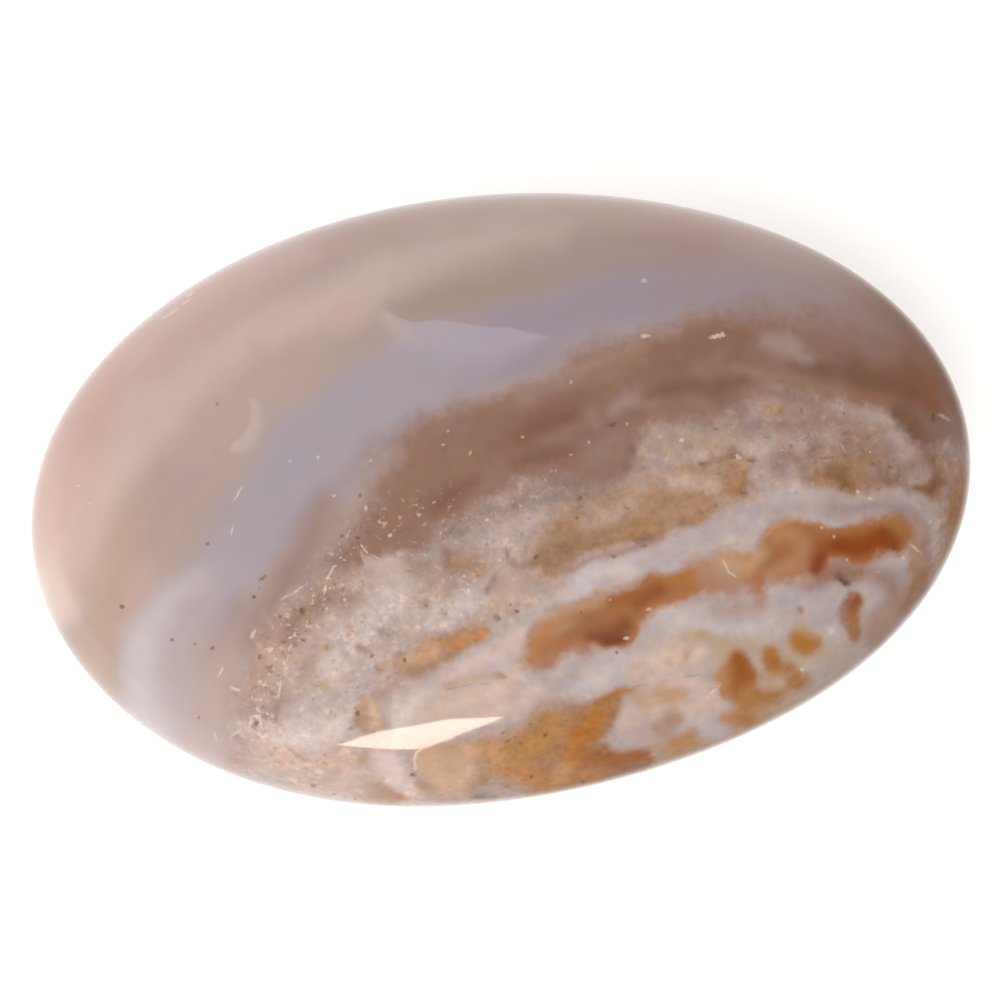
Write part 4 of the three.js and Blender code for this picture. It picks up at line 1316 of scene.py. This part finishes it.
@dataclass(frozen=True)
class AgateFinish:
    """Polished agate: the painted minerals, broken up by fine grain and given a gloss."""

    name: str = "polished_agate"
    # The dark marks' colour also serves as painted shade, and the pale marks' colour as painted highlight.
    dark_fleck_and_shade_tint: tuple[float, float, float] = (0.10, 0.055, 0.032)
    pale_fleck_and_highlight_tint: tuple[float, float, float] = (0.68, 0.54, 0.45)
    dark_cover: float = 0.75
    pale_cover: float = 0.6
    mark_fray: float = 1.3
    mark_reach: float = 2.2
    gloss: float = 0.06
    dulling: float = 0.3
    index: float = 1.54
    edge: float = 1.25
    edge_shares: tuple[float, ...] = (1.0, 0.6)
    rim_depth: tuple[float, float] = (3.0, 0.5)
    cocoa: Grading = Grading("cocoa", (0.11, 0.08, 0.07), (0.22, 0.0, 0.06), ragged=0.8)
    sugar: Grading = Grading(
        "sugar", (0.17, 0.24, 0.15, 0.11), (0.20, 0.10), frayed=0.55, crumbs=(RUST, FROST, FLECK)
    )
    ochre: Grading = Grading("ochre", (0.12, 0.22, 0.24, 0.17), (0.22, 0.16), ragged=1.4)
    chalk: Grading = Grading("chalk", (0.14, 0.14, 0.07), (0.24, 0.08))
    amber: Grading = Grading("amber", (0.12, 0.07), (0.18, 0.04), rim=0.10)

    def make(self, dark: MarkSheets, pale: MarkSheets) -> bpy.types.Material:
        """Makes the material for a stone that carries these marks."""
        material, graph = new_material(self.name)
        grains = Grains(graph)
        colour = self.minerals(graph, grains)
        # The dark marks lay dark flecks and painted shade; the pale marks lay pale flecks, scratches and
        # painted highlights.
        colour, _ = self.marks(graph, grains, colour, dark, self.dark_fleck_and_shade_tint, self.dark_cover)
        colour, pale_sheet_covers = self.marks(graph, grains, colour, pale, self.pale_fleck_and_highlight_tint, self.pale_cover)
        dulled_share = pale_sheet_covers[0]
        for nick in pale_sheet_covers[1:]:
            dulled_share = graph.math("MAXIMUM", dulled_share, nick)
        shader = graph.node("ShaderNodeBsdfPrincipled")
        graph.feed(shader.inputs["Base Color"], colour)
        graph.feed(shader.inputs["IOR"], self.index)
        graph.feed(shader.inputs["Roughness"], self.gloss + dulled_share * self.dulling)
        graph.end(shader)
        return material

    def minerals(self, graph: Graph, grains: Grains) -> Wire:
        """Lays the minerals over each other, oldest first, and returns the colour."""
        colour = self.wash(graph, grains)
        colour = self.mineral(graph, grains, colour, self.cocoa)
        colour = self.mineral(graph, grains, colour, self.sugar)
        colour = self.glitter(graph, grains, colour)
        for grading in (self.ochre, self.chalk, self.amber):
            colour = self.mineral(graph, grains, colour, grading)
        colour = self.stain(graph, grains, colour)
        return self.veil(graph, grains, colour)

    def mineral(self, graph: Graph, grains: Grains, under: Wire, grading: Grading) -> Wire:
        """Lays one mineral over the older ones.

        Args:
            graph: The material's nodes.
            grains: The noises that vary the mineral.
            under: The colour of the older ones.
            grading: The mineral's name, and how the noises vary it.

        Returns:
            The colour with the mineral on it.
        """
        tint, depth = graph.attribute(grading.name)
        light = grains.blend(grains.LIGHT, grading.light)
        if grading.rim:
            light = light + graph.eased(depth, *self.rim_depth) * grading.rim
        body = graph.toned(tint, light, grains.blend(grains.WARMTH, grading.warmth))
        covers = [crumbs.cover(graph, grains) for crumbs in grading.crumbs]
        if covers:
            lights = [cover * crumbs.light for cover, crumbs in zip(covers, grading.crumbs)]
            warmths = [cover * crumbs.warmth for cover, crumbs in zip(covers, grading.crumbs)]
            light = sum(lights[1:], start=lights[0])
            body = graph.toned(body, light, sum(warmths[1:], start=warmths[0]))
        edge = depth + grains.blend(grains.EDGE, self.edge_shares) * grading.ragged
        edge = edge + grains.speck[grains.EDGE] * grading.frayed
        return graph.mix(under, body, graph.eased(edge, -self.edge, self.edge))

    def wash(self, graph: Graph, grains: Grains) -> Wire:
        """Returns the smooth outer bands, streaked along their growth."""
        stretch, scale, streak_light, streak_warmth, cloud_warmth = 0.07, 0.55, 0.05, 0.08, 0.05
        tint, growth = graph.attribute("wash")
        out = graph.join(growth, 0.0, 0.0)
        along = graph.out(graph.vector("ADD", graph.lit(grains.place, stretch), out))
        streak, tone, _ = graph.noise(along, scale, detail=2.0, rough=0.6)
        light = streak * streak_light + grains.blend(grains.LIGHT, (0.03, 0.0, 0.015))
        warmth = tone * streak_warmth + grains.cloud[grains.LIGHT] * cloud_warmth
        return graph.toned(tint, light, warmth)

    def glitter(self, graph: Graph, grains: Grains, under: Wire) -> Wire:
        """Lays the dark and the bright grains that show where the quartz is coarse."""
        dull_shares, dull_rise, dull_cover = (0.0, 0.8), (0.1, 0.46), 0.42
        bright_shares, bright_rise, bright_cover = (0.0, 0.0, 0.4), (0.2, 0.46), 0.6
        _, share = graph.attribute("glitter")
        brighter, duller, _ = graph.noise(grains.place, scale=2.5, detail=1.5, rough=0.6)
        dull = graph.eased(duller + grains.blend(grains.WARMTH, dull_shares), *dull_rise)
        bright = graph.eased(brighter + grains.blend(grains.LIGHT, bright_shares), *bright_rise)
        colour = graph.mix(under, Tint.SUGAR_FLECK.paint(), dull * dull_cover * share)
        return graph.mix(colour, Tint.GLITTER.paint(), bright * bright_cover * share)

    def stain(self, graph: Graph, grains: Grains, under: Wire) -> Wire:
        """Lays the small iron spots."""
        edge_shares, light, warmth = (0.0, 0.4, 0.3), 0.15, 0.12
        edge, most = (0.05, 0.95), 0.95
        tint, share = graph.attribute("stain")
        ragged = share + grains.blend(grains.EDGE, edge_shares) * share
        blotch = grains.blotch
        body = graph.toned(tint, blotch[grains.LIGHT] * light, blotch[grains.WARMTH] * warmth)
        return graph.mix(under, body, graph.eased(ragged, *edge) * most)

    def veil(self, graph: Graph, grains: Grains, under: Wire) -> Wire:
        """Lays the pale wisps that lie in the clear quartz just under the polish."""
        varied, edge, most = 0.06, 1.0, 0.65
        tint, depth = graph.attribute("veil")
        blotch = grains.blotch
        body = graph.toned(tint, blotch[grains.LIGHT] * varied, blotch[grains.WARMTH] * varied)
        return graph.mix(under, body, graph.eased(depth, -edge, edge) * most)

    def marks(
        self,
        graph: Graph,
        grains: Grains,
        colour: Wire,
        sheets: MarkSheets,
        mark_tint: tuple[float, float, float],
        most: float,
    ) -> tuple[Wire, list[Wire]]:
        """Draws the flecks and scratches of some sheets, with the painted highlights and painted shadows
        among them.

        Args:
            graph: The material's nodes.
            grains: The noises that fray the marks.
            colour: The colour under them.
            sheets: The sheets that carry them.
            mark_tint: Their own colour, for flecks and for the painted highlights and shadows among them
                alike.
            most: How far they cover what is under them.

        Returns:
            The colour with the marks on it, and each sheet's cover.
        """
        covers = []
        for name in sheets.sheets:
            place, strength = graph.attribute(name)
            along, across, depth = graph.split(place)
            along = along + grains.grain[grains.LIGHT] * self.mark_fray
            across = across + grains.grain[grains.EDGE] * self.mark_fray
            away = along * along + across * across + depth * depth
            cover = graph.eased(away, self.mark_reach, 0.0) * strength * most
            colour = graph.mix(colour, (*mark_tint, 1.0), cover)
            covers.append(cover)
        return colour, covers


# ---- the stone


@dataclass(frozen=True)
class BandFall:
    """How the pattern on the crown carries on down the sides and through the belly.

    Below the girdle the pattern slides along the plan by the dip, in millimetres for each
    millimetre of depth. The slide sets in softly over the onset's depth. It waves by the
    wave's width at the wave's depth, and more below, with a small ripple all over. Both come
    from a fixed seed, so that every build of the stone is the same.
    """

    dip: tuple[float, float] = (0.75, -0.7)
    onset: float = 2.0
    wave: float = 2.2
    wave_depth: float = 6.0
    wave_scale: float = 0.12
    ripple: float = 0.4
    ripple_scale: float = 0.4
    seed: int = 7

    def plan(self, places: np.ndarray, girdle: float) -> np.ndarray:
        """Returns the place on the pattern for each place on the stone, in millimetres."""
        below = np.maximum(girdle - places[:, 2], 0.0)
        eased = below * below / (below + self.onset)
        noise.seed_set(self.seed)
        waves = np.array([noise.noise_vector(Vector(p) * self.wave_scale) for p in places])
        ripples = np.array([noise.noise_vector(Vector(p) * self.ripple_scale) for p in places])
        slide = self.dip + self.wave * waves[:, :2] / self.wave_depth
        plan = places[:, :2] + eased[:, None] * slide
        return plan + self.ripple * ripples[:, :2]


# A place on the sheet that no mark is near, for the places below the girdle.
OFF_SHEET = 1e9


@dataclass
class PalmStone:
    """The polished stone: its fine surface and the agate that shows in it."""

    node: str = "agate_palm_stone"
    slot: str = "polished_agate"
    shape: StoneShape = field(default_factory=StoneShape)
    block: tuple[int, int, int] = (212, 148, 50)
    fall: BandFall = field(default_factory=BandFall)
    finish: AgateFinish = field(default_factory=AgateFinish)
    sheet: Sheet = field(default_factory=Sheet)
    layers: tuple[Layer, ...] = (WASH, COCOA, SUGAR, OCHRE, CHALK, AMBER, VEIL)
    spots: tuple[Drift, ...] = SPOTS
    coarse: tuple[Drift, ...] = COARSE_GRAIN
    dark: MarkSheets = field(default_factory=lambda: MarkSheets("dark_flecks_and_shade", DARK_MARKS))
    pale: MarkSheets = field(default_factory=lambda: MarkSheets("pale_flecks_and_highlights", PALE_MARKS))

    def build(self) -> bpy.types.Object:
        """Makes the stone's mesh by Geometry Nodes and returns the finished object."""
        tree = StoneTree(self.shape, self.finish.make(self.dark, self.pale))
        carrier = bpy.data.objects.new("stone_block", bpy.data.meshes.new("stone_block"))
        bpy.context.collection.objects.link(carrier)
        modifier = carrier.modifiers.new("ground_stone", "NODES")
        modifier.node_group = tree.tree
        values = tree.values(self.block)
        for item in tree.tree.interface.items_tree:
            if item.in_out == "INPUT":
                modifier[item.identifier] = values[item.name]
        graph = bpy.context.evaluated_depsgraph_get()
        mesh = bpy.data.meshes.new_from_object(carrier.evaluated_get(graph), depsgraph=graph)
        carrier.modifiers.remove(modifier)
        bpy.data.objects.remove(carrier)
        mesh.name = "polished_stone"
        stone = bpy.data.objects.new("polished_stone", mesh)
        bpy.context.collection.objects.link(stone)
        return stone

    def dress(self, stone: bpy.types.Object) -> None:
        """Paints the agate's pattern on to the mesh, for the finish to read."""
        mesh = stone.data
        places = np.empty(len(mesh.vertices) * 3, dtype=np.float32)
        mesh.vertices.foreach_get("co", places)
        places = places.reshape(-1, 3).astype(float) / MM
        plan = self.fall.plan(places, self.shape.girdle)
        sheet = self.sheet.lay(plan, np.maximum(places[:, 2], self.shape.girdle))
        for layer in self.layers:
            self.store(mesh, layer.name, layer.paint(sheet))
        self.store(mesh, "stain", self.stains(self.spots, sheet))
        self.store(mesh, "glitter", self.stains(self.coarse, sheet))
        crown = places[:, 2] > self.shape.girdle
        flat = self.sheet.lay(places[:, :2], places[:, 2])
        flat = np.where(crown[:, None], flat, OFF_SHEET)
        for sheets in (self.dark, self.pale):
            for name in sheets.sheets:
                self.store(mesh, name, sheets.paint(name, flat))

    @staticmethod
    def stains(spots: tuple[Drift, ...], plan: np.ndarray) -> np.ndarray:
        """Returns the colour of spots laid over each other, and their cover as a fourth value."""
        colour = np.zeros((len(plan), 3))
        cover = np.zeros(len(plan))
        for spot in spots:
            share, tint = spot.over(plan)
            colour += share[:, None] * (tint - colour)
            cover += share * (1.0 - cover)
        return np.column_stack([colour / np.maximum(cover, TINY)[:, None], cover])

    @staticmethod
    def store(mesh: bpy.types.Mesh, name: str, values: np.ndarray) -> None:
        """Keeps four values a vertex on the mesh under a name."""
        stored = mesh.color_attributes.new(name, "FLOAT_COLOR", "POINT")
        stored.data.foreach_set("color", values.astype(np.float32).ravel())

    def mount(self, stone: bpy.types.Object) -> None:
        """Puts the stone in the frame, in place of its plain solid."""
        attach(stone, "root")
        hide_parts(self.node)


# ---- floor, lights and camera


def level_square(reach: float, height: float) -> list[tuple[float, float, float]]:
    """Returns the corners of a level square that reaches so far each way."""
    sides = ((-reach, -reach), (reach, -reach), (reach, reach), (-reach, reach))
    return [(x, y, height) for x, y in sides]


def stage_sheet(
    name: str, corners: list[tuple[float, float, float]], material: bpy.types.Material
) -> bpy.types.Object:
    """Makes a flat sheet of the studio.

    Args:
        name: The name of the object and its mesh.
        corners: Its corners in order.
        material: Its material.

    Returns:
        The sheet.
    """
    mesh = bpy.data.meshes.new(name)
    mesh.from_pydata(corners, [], [tuple(range(len(corners)))])
    mesh.materials.append(material)
    sheet = bpy.data.objects.new(name, mesh)
    bpy.context.collection.objects.link(sheet)
    return sheet


def only_in_polish(sheet: bpy.types.Object) -> None:
    """Hides a sheet from all but the polish."""
    sheet.visible_camera = False
    sheet.visible_diffuse = False
    sheet.visible_shadow = False
    sheet.visible_transmission = False


def towards(azimuth: float, elevation: float) -> Vector:
    """Returns the unit direction at an azimuth from +X and an elevation, in degrees."""
    a, e = math.radians(azimuth), math.radians(elevation)
    return Vector((math.cos(a) * math.cos(e), math.sin(a) * math.cos(e), math.sin(e)))


@dataclass(frozen=True)
class PaleFloor:
    """A plain pale floor that runs out of sight, lit a little from below, and more far off."""

    reach: float = 8.0
    colour: tuple[float, float, float] = (0.86, 0.855, 0.845)
    roughness: float = 0.55
    glow: float = 0.37
    far_glow: float = 0.56
    far: tuple[float, float] = (0.35, 1.6)

    def build(self) -> bpy.types.Object:
        """Makes the floor and returns it."""
        material, graph = new_material("pale_floor")
        place = graph.out(graph.node("ShaderNodeTexCoord"), "Object")
        away = graph.out(graph.vector("LENGTH", place), "Value")
        shader = graph.node("ShaderNodeBsdfPrincipled")
        graph.feed(shader.inputs["Base Color"], (*self.colour, 1.0))
        graph.feed(shader.inputs["Roughness"], self.roughness)
        graph.feed(shader.inputs["Emission Color"], (*self.colour, 1.0))
        glow = self.glow + graph.eased(away, *self.far) * (self.far_glow - self.glow)
        graph.feed(shader.inputs["Emission Strength"], glow)
        graph.end(shader)
        return stage_sheet("floor", level_square(self.reach, 0.0), material)


WARM = (1.0, 0.97, 0.955)


@dataclass(frozen=True)
class Softbox:
    """A soft rectangular studio light that looks at the floor under the stone's middle."""

    name: str
    azimuth: float
    elevation: float
    distance: float
    size: tuple[float, float]
    power: float
    colour: tuple[float, float, float] = WARM

    def build(self) -> bpy.types.Object:
        """Makes the light, which doesn't show in the polish, and returns it."""
        light = bpy.data.lights.new(self.name, "AREA")
        light.shape = "RECTANGLE"
        light.size, light.size_y = self.size
        light.energy = self.power
        light.color = self.colour
        lamp = bpy.data.objects.new(self.name, light)
        out = towards(self.azimuth, self.elevation)
        lamp.location = out * self.distance
        lamp.rotation_euler = out.to_track_quat("Z", "Y").to_euler()
        lamp.visible_glossy = False
        lamp.visible_camera = False
        bpy.context.collection.objects.link(lamp)
        return lamp


@dataclass(frozen=True)
class GlossCard:
    """A bright card that lights nothing, and only shows as the long glint on the polish.

    Each corner is an azimuth and an elevation in degrees, seen from the floor under the stone.
    """

    name: str
    corners: tuple[tuple[float, float], ...]
    distance: float
    brightness: float
    colour: tuple[float, float, float]

    def build(self) -> bpy.types.Object:
        """Makes the card and returns it."""
        material, graph = new_material(self.name)
        glow = graph.node("ShaderNodeEmission")
        graph.feed(glow.inputs["Color"], (*self.colour, 1.0))
        graph.feed(glow.inputs["Strength"], self.brightness)
        graph.end(glow)
        points = [towards(*corner) * self.distance for corner in self.corners]
        card = stage_sheet(self.name, points, material)
        only_in_polish(card)
        return card


@dataclass(frozen=True)
class FloorFlag:
    """A dark sheet on the floor that only the polish sees, so that the colours on one side
    of the stone stay deep. It fades out to the sides, and close to the stone itself.

    The near fade is from and to so many times the size of the stone's own oval.
    """

    name: str = "floor_flag"
    side: float = -34.0
    reach: float = 8.0
    height: float = 0.4 * MM
    share: float = 0.75
    fade: tuple[float, float] = (0.1, 0.7)
    oval: tuple[float, float] = (33.0 * MM, 21.2 * MM)
    near_fade: tuple[float, float] = (1.1, 1.6)

    def shade(self, graph: Graph, way: Wire) -> Wire:
        """Returns how dark the flag is in a direction, from 0 to its share."""
        facing = graph.vector("DOT_PRODUCT", way, tuple(towards(self.side, 0.0)))
        return graph.eased(graph.out(facing, "Value"), *self.fade) * self.share

    def build(self) -> bpy.types.Object:
        """Makes the flag and returns it."""
        material, graph = new_material(self.name)
        place = graph.out(graph.node("ShaderNodeTexCoord"), "Object")
        dark = self.shade(graph, graph.out(graph.vector("NORMALIZE", place)))
        x, y, _ = graph.split(place)
        x, y = x / self.oval[0], y / self.oval[1]
        out = graph.math("SQRT", x * x + y * y)
        dark = dark * graph.eased(out, *self.near_fade)
        clear = graph.node("ShaderNodeBsdfTransparent")
        black = graph.node("ShaderNodeBsdfDiffuse")
        graph.feed(black.inputs["Color"], (0.0, 0.0, 0.0, 1.0))
        blend = graph.node("ShaderNodeMixShader")
        for socket, value in zip(blend.inputs, (dark, graph.out(clear), graph.out(black))):
            graph.feed(socket, value)
        graph.end(blend)
        flag = stage_sheet(self.name, level_square(self.reach, self.height), material)
        only_in_polish(flag)
        return flag


KEY = Softbox("key", azimuth=-140.0, elevation=58.0, distance=1.0, size=(1.0, 1.0), power=9.1)
FILL = Softbox("fill", azimuth=50.0, elevation=60.0, distance=1.0, size=(1.0, 1.0), power=5.2)
GLINT = GlossCard(
    "glint_card",
    corners=((-111.7, 19.9), (-107.0, 30.2), (-98.0, 36.0), (-90.8, 34.5), (-100.5, 20.2)),
    distance=0.5,
    brightness=14.5,
    colour=(1.0, 0.74, 0.60),
)


@dataclass(frozen=True)
class Studio:
    """Plain soft studio light: a pale room, two softboxes and a card for the glint.

    The room is brightest at the horizon, where its pale walls stand, and dims overhead. A dark
    flag on one side keeps the colours there deep.
    """

    sky: tuple[float, float, float] = (1.0, 0.99, 0.985)
    overhead: float = 0.38
    horizon: float = 0.97
    wall_top: float = 0.62
    flag: FloorFlag = FloorFlag()
    lamps: tuple[Softbox | GlossCard, ...] = (KEY, FILL, GLINT)

    def build(self) -> None:
        """Lights the scene."""
        scene = bpy.context.scene
        world = bpy.data.worlds.new("pale_room")
        world.use_nodes = True
        graph = Graph(world.node_tree)
        way = graph.out(graph.node("ShaderNodeTexCoord"), "Generated")
        height = graph.math("ABSOLUTE", graph.split(way)[2])
        wall = graph.eased(height, self.wall_top, 0.0)
        lit = self.overhead + wall * (self.horizon - self.overhead)
        sky = graph.node("ShaderNodeBackground")
        graph.feed(sky.inputs["Color"], (*self.sky, 1.0))
        graph.feed(sky.inputs["Strength"], lit * (1.0 - self.flag.shade(graph, way)))
        graph.end(sky, "ShaderNodeOutputWorld")
        scene.world = world
        scene.view_settings.view_transform = "Standard"
        for lamp in (*self.lamps, self.flag):
            lamp.build()


@dataclass(frozen=True)
class OverheadCamera:
    """A camera that looks straight down on the stone, and sees what the pattern sheet shows.

    The centre is the point under it, in millimetres along its own right and up.
    """

    lens: float = LENS
    height: float = EYE * MM
    roll: float = ROLL
    centre: tuple[float, float] = (0.126, -0.161)
    clip: tuple[float, float] = (0.01, 50.0)

    def build(self) -> bpy.types.Object:
        """Makes the camera, turned so that the stone's right end lifts by the roll angle."""
        data = bpy.data.cameras.new("overhead")
        data.lens = self.lens
        data.clip_start, data.clip_end = self.clip
        camera = bpy.data.objects.new("overhead", data)
        roll = -math.radians(self.roll)
        right, up = (MM * share for share in self.centre)
        camera.location = (
            right * math.cos(roll) - up * math.sin(roll),
            right * math.sin(roll) + up * math.cos(roll),
            self.height,
        )
        camera.rotation_euler = (0.0, 0.0, roll)
        bpy.context.collection.objects.link(camera)
        bpy.context.scene.camera = camera
        return camera


def main() -> None:
    """Builds the scene and the stone, and reports each piece."""
    logging.basicConfig(level=logging.INFO, format="%(name)s: %(message)s")
    OverheadCamera().build()
    Studio().build()
    PaleFloor().build()
    palm_stone = PalmStone()
    stone = palm_stone.build()
    palm_stone.dress(stone)
    palm_stone.mount(stone)
    log.info("%s: %d faces", stone.name, len(stone.data.polygons))


if __name__ == "__main__":
    main()
